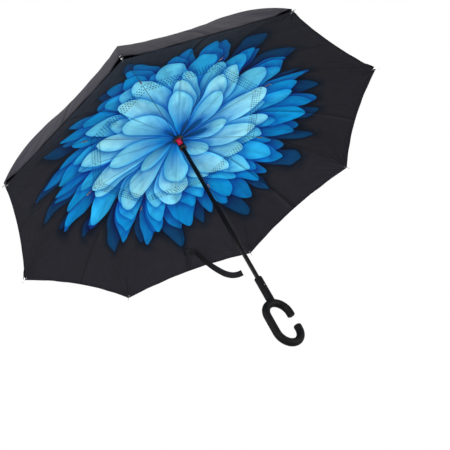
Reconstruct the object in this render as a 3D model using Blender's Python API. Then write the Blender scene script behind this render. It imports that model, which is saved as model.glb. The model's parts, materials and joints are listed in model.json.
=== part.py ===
"""An inverted umbrella: two canopies on eight folding ribs, a runner with a button, a C-shaped grip.

It is modelled open, with the shaft upright and the grip at the bottom, in metres.
The origin lies on the shaft's axis, in the middle of the grip's neck, where a hand holds it.
Each rib has its own upright plane: there x runs outwards, y to the left and z up.
"""

import math

import bmesh
import bpy
from mathutils import Matrix, Vector

# Counts
RIB_COUNT = 8
ROUND_SIDES = 24
ROD_SIDES = 6
PIN_SIDES = 8
GRIP_SIDES = 12
END_STEPS = 4
BALL_STEPS = 3
CAP_STEPS = 5
BUTTON_ROUND_STEPS = 3
RIB_WIRE_STEPS = 32
ARC_STEPS = 8
GORE_STEPS = 4
SPRING_TURNS = 3
SPRING_STEPS = 10
HALF_TURN = math.pi
FULL_TURN = 2 * math.pi

# Clearances
FIT_GAP = 0.0003
RUNNING_GAP = 0.0004
CUT_OVERRUN = 0.002
MERGE_DISTANCE = 0.000003

# Shaft
SHAFT_RADIUS = 0.00575
SHAFT_WALL = 0.0007
SHAFT_END_GAP = 0.0035

# Grip and its neck
NECK_LENGTH = 0.068
NECK_RADIUS = 0.0105
NECK_CHAMFER = 0.0012
NECK_FLOOR = 0.005
NECK_RING_DEPTH = 0.0006
NECK_RING_WIDTH = 0.0016
NECK_RING_DOWN = 0.008
TENON_RADIUS = 0.005
TENON_LENGTH = 0.009
GRIP_TUBE_RADIUS = 0.0102
GRIP_BEND_RADIUS = 0.03505
GRIP_STRAIGHT = 0.047
GRIP_MOUTH = 0.0276
GRIP_SHOULDER = 0.0012
GRIP_BEND_STEPS = 10
GRIP_END_ROUND = 0.002
PIN_RADIUS = 0.00125
NECK_PIN_DOWN = 0.028

# Runner, from its lower end to the face that clamps the inner canopy
RUNNER_LENGTH = 0.0394
RUNNER_STOP_GAP = 0.001
RUNNER_TRAVEL = 0.4526
RUNNER_RADIUS = 0.01
RUNNER_NECK_RADIUS = 0.0094
COLLAR_RADIUS = 0.0108
COLLAR_HEIGHT = 0.007
FLANGE_RADIUS = 0.0155
FLANGE_THICKNESS = 0.0028
FLANGE_CONE = 0.0045

# Button, its spring and the latch plate that it pushes
BUTTON_AZIMUTH = math.radians(225)
BUTTON_WIDTH = 0.0124
BUTTON_HEIGHT = 0.0178
BUTTON_FACE = 0.0127
BUTTON_BACK = 0.0093
BUTTON_TRAVEL = 0.002
BUTTON_ROUND = 0.0011
BUTTON_HEIGHT_ON_RUNNER = 0.0214
POCKET_FLOOR = 0.0069
SPRING_RADIUS = 0.0019
SPRING_WIRE = 0.00025
SPRING_RECESS = 0.0023
RECESS_RADIUS = 0.0026
PLATE_THICKNESS = 0.001
PLATE_RIM = 0.0009
PLATE_DROP = 0.0055

# Hub that carries the ribs, on top of the runner
FABRIC_THICKNESS = 0.0008
RIB_HUB_HEIGHT = 0.0116
RIB_HUB_RADIUS = 0.016
RIB_HINGE_RADIUS = 0.014
RIB_HINGE_HEIGHT = 0.0056
WIRE_RADIUS = 0.0008
WIRE_CLEARANCE = 0.00045
WIRE_SEAT = 0.001

# Steel channel, the inner half of a rib
CHANNEL_LENGTH = 0.261
CHANNEL_HALF_WIDTH = 0.002
CHANNEL_WALL = 0.0004
BAR_HALF_HEIGHT = 0.0022
CHANNEL_WEB = 0.0006
CHANNEL_TONGUE = 0.006
EAR_LENGTH = 0.0035

# Fibreglass rod, the outer half of a rib, and its metal tip
ROD_RADIUS = 0.0013
ROD_REACH = 0.28
ROD_DROP = 0.144
ROD_BULGE = 0.0185
EYE_LENGTH = 0.006
EYE_HALF_WIDTH = 0.0011
TIP_RADIUS = 0.00205
TIP_SLEEVE = 0.01
TIP_SHOULDER = 0.0006
TIP_CONE = 0.0015
TIP_PIN = 0.009
TIP_PIN_RADIUS = 0.0011
TIP_BALL_RADIUS = 0.0018

# Strut and bow, which carry the outer canopy beside each rib
CROWN_RISE = 0.129
CROWN_HINGE_RADIUS = 0.012
STRUT_REACH = 0.323
STRUT_DROP = 0.049
STRUT_BULGE = 0.018
STRUT_HALF_WIDTH = 0.0009
STRUT_OFFSET = 0.0072
BOW_RADIUS = 0.0013
BOW_OFFSET = 0.0038
BOW_BULGE = 0.014

# Crown: hub and cap
CROWN_HUB_RADIUS = 0.0175
CROWN_HUB_BELOW = 0.006
CROWN_HUB_ABOVE = 0.0085
CROWN_SLEEVE_RADIUS = 0.009
CROWN_SLEEVE_LENGTH = 0.014
CROWN_SLOT_INNER = 0.0095
CROWN_SLOT_HEADROOM = 0.002
HINGE_PIN_RADIUS = 0.0008
HINGE_PIN_SEAT = 0.0021
CAP_RADIUS = 0.0115
CAP_HEIGHT = 0.013
CAP_TOP_RADIUS = 0.0045
CAP_RIM = 0.0025

# Canopies
RIM_SAG = 0.016
CLAMP_WIDTH = 0.0006
LEVEL_OUT_WIDTH = 0.02
SEAM_CLEARANCE = 0.0004

# Strap that ties the closed umbrella, sewn inside the canopy between two ribs
STRAP_WIDTH = 0.018
STRAP_THICKNESS = 0.0008
STRAP_DROP = 0.165
STRAP_RIB = 2
STRAP_TWIST = math.radians(-40)
STRAP_SEAM_FROM_RIM = 0.068
STRAP_SEAM_GAP = 0.0005
STRAP_ROUTE_SHARES = (
    (0.0, 0.0),
    (0.09, -0.004),
    (0.165, -0.045),
    (0.212, -0.135),
    (0.246, -0.25),
    (0.288, -0.37),
    (0.345, -0.49),
    (0.415, -0.61),
    (0.505, -0.73),
    (0.61, -0.805),
    (0.72, -0.83),
    (0.8, -0.825),
)

# Heights and places that follow from the sizes above
NECK_TOP = NECK_LENGTH / 2
NECK_BOTTOM = -NECK_LENGTH / 2
NECK_PIN_HEIGHT = NECK_TOP - NECK_PIN_DOWN
GRIP_CENTRE = NECK_BOTTOM - GRIP_SHOULDER - GRIP_TUBE_RADIUS - GRIP_BEND_RADIUS - GRIP_STRAIGHT / 2
RUNNER_BOTTOM = NECK_TOP + RUNNER_STOP_GAP + RUNNER_TRAVEL
RUNNER_TOP = RUNNER_BOTTOM + RUNNER_LENGTH
RIB_HUB_BOTTOM = RUNNER_TOP + FABRIC_THICKNESS + 2 * FIT_GAP
RIB_HINGE = Vector((RIB_HINGE_RADIUS, 0, RIB_HUB_BOTTOM + RIB_HINGE_HEIGHT))
ROD_HINGE = RIB_HINGE + Vector((CHANNEL_LENGTH, 0, 0))
ROD_END = ROD_HINGE + Vector((ROD_REACH, 0, -ROD_DROP))
CROWN_HINGE = Vector((CROWN_HINGE_RADIUS, 0, RIB_HINGE.z + CROWN_RISE))
KNEE = CROWN_HINGE + Vector((STRUT_REACH, 0, -STRUT_DROP))
CROWN_HUB_TOP = CROWN_HINGE.z + CROWN_HUB_ABOVE
CAP_BOTTOM = CROWN_HUB_TOP + FABRIC_THICKNESS + 2 * FIT_GAP
SHAFT_BOTTOM = NECK_BOTTOM + NECK_FLOOR + FIT_GAP
SHAFT_TOP = CAP_BOTTOM + CAP_HEIGHT - SHAFT_END_GAP
BORE_RADIUS = SHAFT_RADIUS + RUNNING_GAP
EYE_HOLE = WIRE_RADIUS + WIRE_CLEARANCE
GORE_NARROWING = math.cos(HALF_TURN / RIB_COUNT)


# Materials
def material(name, colour, roughness, metallic=0.0):
    made = bpy.data.materials.new(name)
    made.use_nodes = True
    shader = made.node_tree.nodes["Principled BSDF"]
    shader.inputs["Base Color"].default_value = (*colour, 1)
    shader.inputs["Roughness"].default_value = roughness
    shader.inputs["Metallic"].default_value = metallic
    return made


# Points and outlines
def arc(start, end, bulge, steps=ARC_STEPS):
    """Points on the round arc from start to end that stands up by bulge in its middle."""
    chord = end - start
    half = chord.length / 2
    radius = (half * half + bulge * bulge) / (2 * bulge)
    opening = math.asin(half / radius)
    along = chord.normalized()
    up = Vector((-along.z, 0, along.x))
    centre = (start + end) / 2 - up * (radius - bulge)
    turns = [opening * (2 * i / steps - 1) for i in range(steps + 1)]
    return [centre + along * radius * math.sin(a) + up * radius * math.cos(a) for a in turns]


def directions(points):
    """The direction of a line of points at each of them."""
    found = []
    for i in range(len(points)):
        before, after = points[max(i - 1, 0)], points[min(i + 1, len(points) - 1)]
        found.append((after - before).normalized())
    return found


def circle(centre_x, centre_z, radius, sides=PIN_SIDES):
    turns = [FULL_TURN * i / sides for i in range(sides)]
    return [(centre_x + radius * math.cos(a), centre_z + radius * math.sin(a)) for a in turns]


def bar_outline(points, half_height):
    """The outline of a flat bar along a line of points, with a round end at each hinge."""
    headings = directions(points)
    first, last = headings[0], headings[-1]
    upper = [(p.x - d.z * half_height, p.z + d.x * half_height) for p, d in zip(points, headings)]
    lower = [(p.x + d.z * half_height, p.z - d.x * half_height) for p, d in zip(points, headings)]
    outline = list(upper)
    outline += end_arc(points[-1], math.atan2(last.z, last.x) + HALF_TURN / 2, half_height)
    outline += lower[::-1]
    outline += end_arc(points[0], math.atan2(first.z, first.x) - HALF_TURN / 2, half_height)
    return outline


def end_arc(centre, start_angle, radius):
    """The inner points of a half circle that turns clockwise from start_angle."""
    turns = [start_angle - HALF_TURN * i / END_STEPS for i in range(1, END_STEPS)]
    return [(centre.x + radius * math.cos(a), centre.z + radius * math.sin(a)) for a in turns]


# Meshes
def finished(bm, name):
    bmesh.ops.recalc_face_normals(bm, faces=bm.faces[:])
    mesh = bpy.data.meshes.new(name)
    bm.to_mesh(mesh)
    bm.free()
    return mesh


def plate_mesh(name, outline, holes, low, high):
    """A flat plate: an outline with holes in the x-z plane, from y = low to y = high."""
    bm = bmesh.new()
    edges = []
    for loop in [outline, *holes]:
        verts = [bm.verts.new((x, low, z)) for x, z in loop]
        edges += [bm.edges.new(pair) for pair in zip(verts, verts[1:] + verts[:1])]
    bmesh.ops.triangle_fill(bm, use_beauty=True, use_dissolve=False, edges=edges)
    grown = bmesh.ops.extrude_face_region(bm, geom=bm.faces[:])
    moved = [v for v in grown["geom"] if isinstance(v, bmesh.types.BMVert)]
    bmesh.ops.translate(bm, vec=(0, high - low, 0), verts=moved)
    return finished(bm, name)


def rod_mesh(name, points, radius, sides, end_round=0.0):
    """A round rod along points in the x-z plane; end_round narrows its two end faces."""
    headings = directions(points)
    rings = [(p, d, radius) for p, d in zip(points, headings)]
    if end_round:
        start = (points[0] - headings[0] * end_round, headings[0], radius - end_round)
        end = (points[-1] + headings[-1] * end_round, headings[-1], radius - end_round)
        rings = [start, *rings, end]
    bm = bmesh.new()
    loops = []
    for centre, heading, size in rings:
        up = Vector((-heading.z, 0, heading.x))
        turns = [FULL_TURN * i / sides for i in range(sides)]
        ring = [centre + up * size * math.cos(a) + Vector((0, size * math.sin(a), 0)) for a in turns]
        loops.append([bm.verts.new(p) for p in ring])
    for a, b in zip(loops, loops[1:]):
        for i in range(sides):
            j = (i + 1) % sides
            bm.faces.new((a[i], a[j], b[j], b[i]))
    bm.faces.new(loops[0])
    bm.faces.new(loops[-1])
    return finished(bm, name)


def turned_mesh(name, outline, sides=ROUND_SIDES):
    """A piece turned on the z axis, from (radius, height) points.

    An outline that starts and ends on the axis makes a solid piece, and any other one a ring.
    """
    bm = bmesh.new()
    verts = [bm.verts.new((r, 0, z)) for r, z in outline]
    edges = [bm.edges.new(pair) for pair in zip(verts, verts[1:])]
    if outline[0][0] > 0:
        edges.append(bm.edges.new((verts[-1], verts[0])))
    bmesh.ops.spin(
        bm, geom=verts + edges, axis=(0, 0, 1), cent=(0, 0, 0), angle=FULL_TURN, steps=sides, use_merge=True
    )
    bmesh.ops.remove_doubles(bm, verts=bm.verts[:], dist=MERGE_DISTANCE)
    return finished(bm, name)


def box_mesh(name, low, high):
    bm = bmesh.new()
    bmesh.ops.create_cube(bm, size=1)
    size = Vector(high) - Vector(low)
    bmesh.ops.scale(bm, vec=size, verts=bm.verts[:])
    bmesh.ops.translate(bm, vec=Vector(low) + size / 2, verts=bm.verts[:])
    return finished(bm, name)


def pin_mesh(name, centre, axis, radius, length, sides=PIN_SIDES):
    """A round pin whose middle lies at centre."""
    bm = bmesh.new()
    turn = Vector((0, 0, 1)).rotation_difference(Vector(axis)).to_matrix().to_4x4()
    bmesh.ops.create_cone(
        bm,
        cap_ends=True,
        segments=sides,
        radius1=radius,
        radius2=radius,
        depth=length,
        matrix=Matrix.Translation(centre) @ turn,
    )
    return finished(bm, name)


def combined(name, mesh, cuts=(), joins=()):
    """The mesh with other meshes cut out of it or joined to it."""
    base = helper(name, mesh)
    helpers = []
    for operation, others in (("UNION", joins), ("DIFFERENCE", cuts)):
        for other in others:
            tool = helper(name + "_tool", other)
            helpers.append(tool)
            step = base.modifiers.new(operation.title(), "BOOLEAN")
            step.operation = operation
            step.solver = "EXACT"
            step.object = tool
    bpy.context.view_layer.update()
    evaluated = base.evaluated_get(bpy.context.evaluated_depsgraph_get())
    result = bpy.data.meshes.new_from_object(evaluated)
    result.name = name
    for used in [base, *helpers]:
        bpy.data.objects.remove(used)
    return result


def helper(name, mesh):
    made = bpy.data.objects.new(name, mesh)
    made.hide_render = True
    made.display_type = "WIRE"
    bpy.context.scene.collection.objects.link(made)
    return made


def place(name, mesh, finish, location=(0, 0, 0), azimuth=0.0, smooth=True):
    """A named piece; its mesh is written from its own origin, in the plane at azimuth."""
    piece = bpy.data.objects.new(name, mesh)
    bpy.context.scene.collection.objects.link(piece)
    mesh.materials.clear()
    mesh.materials.append(finish)
    if smooth:
        mesh.shade_smooth()
        mesh.set_sharp_from_angle(angle=math.radians(35))
    turn = Matrix.Rotation(azimuth, 4, "Z")
    piece.location = turn @ Vector(location)
    piece.rotation_euler.z = azimuth
    return piece


def rib_azimuth(index):
    return FULL_TURN * index / RIB_COUNT


def around(name, mesh, finish, location):
    """One copy of a piece in each rib's plane, named with the rib's number."""
    for index in range(RIB_COUNT):
        place(f"{name}_{index + 1}", mesh, finish, location, rib_azimuth(index))


# Grip, neck and shaft
def grip(finish):
    """The C-shaped grip: a long loop, open on its +X side, with a short root under the neck."""
    side = GRIP_STRAIGHT / 2
    points = [Vector((GRIP_BEND_RADIUS, 0, GRIP_MOUTH / 2 + GRIP_END_ROUND))]
    for centre, start in ((side, 0.0), (-side, HALF_TURN)):
        for i in range(GRIP_BEND_STEPS + 1):
            angle = start + HALF_TURN * i / GRIP_BEND_STEPS
            reach = Vector((math.cos(angle), 0, math.sin(angle))) * GRIP_BEND_RADIUS
            points.append(reach + Vector((0, 0, centre)))
    points.append(Vector((GRIP_BEND_RADIUS, 0, -GRIP_MOUTH / 2 - GRIP_END_ROUND)))
    points = [p + Vector((0, 0, GRIP_CENTRE)) for p in points]
    loop = rod_mesh("loop", points, GRIP_TUBE_RADIUS, GRIP_SIDES, GRIP_END_ROUND)
    root_low = GRIP_CENTRE + side + GRIP_BEND_RADIUS
    root_high = NECK_BOTTOM - FIT_GAP
    root = turned_mesh(
        "root",
        [
            (0, root_low),
            (NECK_RADIUS, root_low),
            (NECK_RADIUS, root_high - NECK_CHAMFER),
            (NECK_RADIUS - NECK_CHAMFER, root_high),
            (0, root_high),
        ],
    )
    socket_low = NECK_BOTTOM - TENON_LENGTH - FIT_GAP
    socket_middle = Vector((0, 0, (socket_low + root_high + CUT_OVERRUN) / 2))
    socket = pin_mesh(
        "socket",
        socket_middle,
        (0, 0, 1),
        TENON_RADIUS + FIT_GAP,
        root_high + CUT_OVERRUN - socket_low,
        ROUND_SIDES,
    )
    place("grip", combined("grip", loop, cuts=[socket], joins=[root]), finish)


def grip_neck(finish):
    """The neck above the grip: a tenon below, a blind bore for the shaft and a ring near the top."""
    bore = SHAFT_RADIUS + FIT_GAP
    ring_top = NECK_TOP - NECK_RING_DOWN
    outline = [
        (0, NECK_BOTTOM - TENON_LENGTH),
        (TENON_RADIUS, NECK_BOTTOM - TENON_LENGTH),
        (TENON_RADIUS, NECK_BOTTOM),
        (NECK_RADIUS - NECK_CHAMFER, NECK_BOTTOM),
        (NECK_RADIUS, NECK_BOTTOM + NECK_CHAMFER),
        (NECK_RADIUS, ring_top - NECK_RING_WIDTH),
        (NECK_RADIUS - NECK_RING_DEPTH, ring_top - NECK_RING_WIDTH + NECK_RING_DEPTH),
        (NECK_RADIUS - NECK_RING_DEPTH, ring_top - NECK_RING_DEPTH),
        (NECK_RADIUS, ring_top),
        (NECK_RADIUS, NECK_TOP - NECK_CHAMFER),
        (NECK_RADIUS - NECK_CHAMFER, NECK_TOP),
        (bore, NECK_TOP),
        (bore, NECK_BOTTOM + NECK_FLOOR),
        (0, NECK_BOTTOM + NECK_FLOOR),
    ]
    centre = (0, 0, NECK_PIN_HEIGHT)
    hole = pin_mesh("hole", centre, (0, 1, 0), PIN_RADIUS + FIT_GAP, 2 * NECK_RADIUS + CUT_OVERRUN)
    place("grip_neck", combined("grip_neck", turned_mesh("neck", outline), cuts=[hole]), finish)


def shaft(finish):
    """The steel tube from the neck to the crown, cross-drilled for its pins."""
    inner = SHAFT_RADIUS - SHAFT_WALL
    outline = [
        (inner, SHAFT_BOTTOM),
        (SHAFT_RADIUS, SHAFT_BOTTOM),
        (SHAFT_RADIUS, SHAFT_TOP),
        (inner, SHAFT_TOP),
    ]
    holes = [
        pin_mesh("hole", (0, 0, height), (0, 1, 0), PIN_RADIUS + FIT_GAP, 2 * SHAFT_RADIUS + CUT_OVERRUN)
        for height in (NECK_PIN_HEIGHT, crown_pin_height())
    ]
    place("shaft", combined("shaft", turned_mesh("tube", outline), cuts=holes), finish)


def neck_pin(finish):
    length = 2 * (NECK_RADIUS - NECK_RING_DEPTH)
    mesh = pin_mesh("neck_pin", (0, 0, 0), (0, 1, 0), PIN_RADIUS, length)
    place("neck_pin", mesh, finish, (0, 0, NECK_PIN_HEIGHT))


# Runner and button
def runner(finish):
    """The sliding sleeve: a collar below, a pocket for the button and a flange under the canopy."""
    flange_low = RUNNER_TOP - FLANGE_THICKNESS
    outline = [
        (BORE_RADIUS, RUNNER_BOTTOM),
        (COLLAR_RADIUS - NECK_CHAMFER, RUNNER_BOTTOM),
        (COLLAR_RADIUS, RUNNER_BOTTOM + NECK_CHAMFER),
        (COLLAR_RADIUS, RUNNER_BOTTOM + COLLAR_HEIGHT),
        (RUNNER_RADIUS, RUNNER_BOTTOM + COLLAR_HEIGHT + COLLAR_RADIUS - RUNNER_RADIUS),
        (RUNNER_NECK_RADIUS, flange_low - FLANGE_CONE),
        (FLANGE_RADIUS, flange_low),
        (FLANGE_RADIUS, RUNNER_TOP),
        (BORE_RADIUS, RUNNER_TOP),
    ]
    middle = RUNNER_BOTTOM + BUTTON_HEIGHT_ON_RUNNER
    half_width = BUTTON_WIDTH / 2 + FIT_GAP
    half_height = BUTTON_HEIGHT / 2 + FIT_GAP
    pocket = box_mesh(
        "pocket",
        (POCKET_FLOOR, -half_width, middle - half_height),
        (BUTTON_FACE + CUT_OVERRUN, half_width, middle + half_height),
    )
    plate_z = middle - PLATE_DROP
    plate_half = PLATE_THICKNESS / 2 + FIT_GAP
    slot = box_mesh(
        "slot",
        (-plate_reach() - BUTTON_TRAVEL - FIT_GAP, -plate_reach() - FIT_GAP, plate_z - plate_half),
        (BUTTON_BACK, plate_reach() + FIT_GAP, plate_z + plate_half),
    )
    turn = Matrix.Rotation(BUTTON_AZIMUTH, 4, "Z")
    pocket.transform(turn)
    slot.transform(turn)
    mesh = combined("runner", turned_mesh("sleeve", outline), cuts=[pocket, slot])
    place("runner", mesh, finish)


def plate_reach():
    """How far the latch plate reaches from the shaft's axis, to either side and away from the button."""
    return BORE_RADIUS + PLATE_RIM


def button(finish):
    """The push button, with rounded edges and a blind recess for its spring."""
    low = (BUTTON_BACK, -BUTTON_WIDTH / 2, -BUTTON_HEIGHT / 2)
    high = (BUTTON_FACE, BUTTON_WIDTH / 2, BUTTON_HEIGHT / 2)
    bm = bmesh.new()
    bm.from_mesh(box_mesh("block", low, high))
    front = [e for e in bm.edges if max(v.co.x for v in e.verts) > BUTTON_BACK + BUTTON_ROUND]
    steps = BUTTON_ROUND_STEPS
    bmesh.ops.bevel(bm, geom=front, offset=BUTTON_ROUND, segments=steps, affect="EDGES", profile=0.5)
    block = finished(bm, "block")
    recess_deep = SPRING_RECESS + CUT_OVERRUN
    centre = (BUTTON_BACK + SPRING_RECESS - recess_deep / 2, 0, 0)
    recess = pin_mesh("recess", centre, (1, 0, 0), RECESS_RADIUS, recess_deep)
    mesh = combined("button", block, cuts=[recess])
    place("button", mesh, finish, (0, 0, button_height()), BUTTON_AZIMUTH)


def button_height():
    return RUNNER_BOTTOM + BUTTON_HEIGHT_ON_RUNNER


def latch_plate(finish):
    """The plate round the shaft that the button pushes; its long hole lets it move by the travel."""
    steps = 2 * END_STEPS
    quarter = HALF_TURN / 2
    far = [quarter + HALF_TURN * i / steps for i in range(steps + 1)]
    near = [-quarter + HALF_TURN * i / steps for i in range(steps + 1)]
    hole = [(BORE_RADIUS * math.cos(a), BORE_RADIUS * math.sin(a)) for a in far]
    hole += [(BUTTON_TRAVEL + BORE_RADIUS * math.cos(a), BORE_RADIUS * math.sin(a)) for a in near]
    far_x = -plate_reach()
    near_x = BUTTON_BACK - FIT_GAP
    side = plate_reach()
    outline = [
        (far_x, -side / 2),
        (far_x + side / 2, -side),
        (near_x, -side),
        (near_x, side),
        (far_x + side / 2, side),
        (far_x, side / 2),
    ]
    mesh = plate_mesh("latch_plate", outline, [hole], -PLATE_THICKNESS / 2, PLATE_THICKNESS / 2)
    mesh.transform(Matrix.Rotation(HALF_TURN / 2, 4, "X"))
    place("latch_plate", mesh, finish, (0, 0, button_height() - PLATE_DROP), BUTTON_AZIMUTH)


def button_spring(finish):
    """The coil between the pocket's floor and the button."""
    start = POCKET_FLOOR + FIT_GAP + SPRING_WIRE
    end = BUTTON_BACK + SPRING_RECESS - FIT_GAP - SPRING_WIRE
    curve = bpy.data.curves.new("button_spring", "CURVE")
    curve.dimensions = "3D"
    curve.bevel_depth = SPRING_WIRE
    curve.bevel_resolution = 1
    curve.use_fill_caps = True
    count = SPRING_TURNS * SPRING_STEPS + 1
    spline = curve.splines.new("POLY")
    spline.points.add(count - 1)
    for i in range(count):
        angle = FULL_TURN * i / SPRING_STEPS
        share = i / (count - 1)
        x = start + (end - start) * share
        spline.points[i].co = (x, SPRING_RADIUS * math.cos(angle), SPRING_RADIUS * math.sin(angle), 1)
    curve.materials.append(finish)
    coil = bpy.data.objects.new("button_spring", curve)
    coil.location = (0, 0, button_height())
    coil.rotation_euler.z = BUTTON_AZIMUTH
    bpy.context.scene.collection.objects.link(coil)


# Hubs
def rib_hub(finish):
    """The notched ring that carries the ribs' inner ends on a wire in its rim groove."""
    top = RIB_HUB_BOTTOM + RIB_HUB_HEIGHT
    groove_floor = RIB_HINGE_RADIUS - WIRE_SEAT
    groove_half = WIRE_RADIUS + FIT_GAP
    outline = [
        (BORE_RADIUS, RIB_HUB_BOTTOM),
        (RIB_HUB_RADIUS, RIB_HUB_BOTTOM),
        (RIB_HUB_RADIUS, RIB_HINGE.z - groove_half),
        (groove_floor - FIT_GAP, RIB_HINGE.z - groove_half),
        (groove_floor - FIT_GAP, RIB_HINGE.z + groove_half),
        (RIB_HUB_RADIUS, RIB_HINGE.z + groove_half),
        (RIB_HUB_RADIUS, top),
        (BORE_RADIUS, top),
    ]
    inner = RIB_HINGE_RADIUS - BAR_HALF_HEIGHT - FIT_GAP
    half = CHANNEL_HALF_WIDTH + FIT_GAP
    slots = []
    for index in range(RIB_COUNT):
        slot = box_mesh(
            "slot",
            (inner, -half, RIB_HUB_BOTTOM - CUT_OVERRUN),
            (RIB_HUB_RADIUS + CUT_OVERRUN, half, top + CUT_OVERRUN),
        )
        slot.transform(Matrix.Rotation(rib_azimuth(index), 4, "Z"))
        slots.append(slot)
    place("rib_hub", combined("rib_hub", turned_mesh("ring", outline), cuts=slots), finish)


def rib_wire(finish):
    """The hinge wire that all eight channels turn on."""
    sides = [FULL_TURN * i / ROD_SIDES for i in range(ROD_SIDES)]
    outline = [(RIB_HINGE_RADIUS + WIRE_RADIUS * math.cos(a), WIRE_RADIUS * math.sin(a)) for a in sides]
    place("rib_wire", turned_mesh("rib_wire", outline, RIB_WIRE_STEPS), finish, (0, 0, RIB_HINGE.z))


def crown_hub(finish):
    """The fixed hub on the shaft, with a slot beside each rib's plane for its strut."""
    low = CROWN_HINGE.z - CROWN_HUB_BELOW
    bore = SHAFT_RADIUS + FIT_GAP
    outline = [
        (bore, low - CROWN_SLEEVE_LENGTH),
        (CROWN_SLEEVE_RADIUS, low - CROWN_SLEEVE_LENGTH),
        (CROWN_SLEEVE_RADIUS, low),
        (CROWN_HUB_RADIUS, low),
        (CROWN_HUB_RADIUS, CROWN_HUB_TOP),
        (bore, CROWN_HUB_TOP),
    ]
    half = STRUT_HALF_WIDTH + FIT_GAP
    slot_top = CROWN_HINGE.z + BAR_HALF_HEIGHT + CROWN_SLOT_HEADROOM
    cuts = []
    for index in range(RIB_COUNT):
        slot = box_mesh(
            "slot",
            (CROWN_SLOT_INNER, STRUT_OFFSET - half, low - CUT_OVERRUN),
            (CROWN_HUB_RADIUS + CUT_OVERRUN, STRUT_OFFSET + half, slot_top),
        )
        seat = pin_mesh(
            "seat",
            CROWN_HINGE + Vector((0, STRUT_OFFSET, 0)),
            (0, 1, 0),
            HINGE_PIN_RADIUS + FIT_GAP,
            hub_pin_length() + 2 * FIT_GAP,
        )
        for cutter in (slot, seat):
            cutter.transform(Matrix.Rotation(rib_azimuth(index), 4, "Z"))
            cuts.append(cutter)
    cross = pin_mesh(
        "cross",
        (0, 0, crown_pin_height()),
        (0, 1, 0),
        PIN_RADIUS + FIT_GAP,
        2 * CROWN_SLEEVE_RADIUS + CUT_OVERRUN,
    )
    mesh = combined("crown_hub", turned_mesh("hub", outline), cuts=[*cuts, cross])
    place("crown_hub", mesh, finish)


def hub_pin_length():
    return 2 * (STRUT_HALF_WIDTH + FIT_GAP + HINGE_PIN_SEAT)


def crown_pin_height():
    return CROWN_HINGE.z - CROWN_HUB_BELOW - CROWN_SLEEVE_LENGTH / 2


def crown_pin(finish):
    length = 2 * (CROWN_SLEEVE_RADIUS - FIT_GAP)
    mesh = pin_mesh("crown_pin", (0, 0, 0), (0, 1, 0), PIN_RADIUS, length)
    place("crown_pin", mesh, finish, (0, 0, crown_pin_height()))


def crown_cap(finish):
    """The cap that clamps the outer canopy on the crown, hollow round the shaft's end."""
    top = CAP_BOTTOM + CAP_HEIGHT
    bore = SHAFT_RADIUS + FIT_GAP
    outline = [(bore, CAP_BOTTOM), (CAP_RADIUS, CAP_BOTTOM)]
    for i in range(CAP_STEPS + 1):
        angle = HALF_TURN / 2 * i / CAP_STEPS
        radius = CAP_TOP_RADIUS + (CAP_RADIUS - CAP_TOP_RADIUS) * math.cos(angle)
        height = CAP_BOTTOM + CAP_RIM + (CAP_HEIGHT - CAP_RIM) * math.sin(angle)
        outline.append((radius, height))
    ceiling = SHAFT_TOP + FIT_GAP
    outline = [(0, ceiling), (bore, ceiling), *outline, (0, top)]
    place("crown_cap", turned_mesh("crown_cap", outline), finish)


# Ribs
def channels(finish):
    """Steel channels: a web over two sides, a tongue on the hinge wire and two ears with a pin."""
    line = [Vector((0, 0, 0)), Vector((CHANNEL_LENGTH, 0, 0))]
    holes = [circle(0, 0, EYE_HOLE)]
    half = CHANNEL_HALF_WIDTH
    bar = plate_mesh("bar", bar_outline(line, BAR_HALF_HEIGHT), holes, -half, half)
    inner = half - CHANNEL_WALL
    far = CHANNEL_LENGTH + BAR_HALF_HEIGHT + CUT_OVERRUN
    groove = box_mesh(
        "groove",
        (CHANNEL_TONGUE, -inner, -BAR_HALF_HEIGHT - CUT_OVERRUN),
        (far, inner, BAR_HALF_HEIGHT - CHANNEL_WEB),
    )
    notch = box_mesh(
        "notch",
        (CHANNEL_LENGTH - EAR_LENGTH, -inner, -BAR_HALF_HEIGHT - CUT_OVERRUN),
        (far, inner, BAR_HALF_HEIGHT + CUT_OVERRUN),
    )
    pin = pin_mesh("pin", (CHANNEL_LENGTH, 0, 0), (0, 1, 0), HINGE_PIN_RADIUS, 2 * half, ROD_SIDES)
    shell = combined("channel", bar, cuts=[groove, notch])
    around("channel", combined("channel", shell, joins=[pin]), finish, RIB_HINGE)


def eye_mesh(heading, half_height):
    """The flat eye that a rod turns on, from its hinge along heading."""
    line = [Vector((0, 0, 0)), heading * EYE_LENGTH]
    return plate_mesh(
        "eye", bar_outline(line, half_height), [circle(0, 0, EYE_HOLE)], -EYE_HALF_WIDTH, EYE_HALF_WIDTH
    )


def hinged_rod(name, hinge, end, bulge, radius, hub_gap):
    """A curved rod from an eye on its hinge to its end, written from the hinge."""
    points = arc(Vector((0, 0, 0)), end - hinge, bulge)
    heading = directions(points)[0]
    points[0] = heading * hub_gap
    rod = rod_mesh(name, points, radius, ROD_SIDES)
    return combined(name, rod, joins=[eye_mesh(heading, BAR_HALF_HEIGHT)])


def rods(finish):
    """Fibreglass rods, which bend down from the channels' ends to the rim."""
    mesh = hinged_rod("rod", ROD_HINGE, ROD_END, ROD_BULGE, ROD_RADIUS, EYE_HOLE + FIT_GAP)
    around("rod", mesh, finish, ROD_HINGE)


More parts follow.
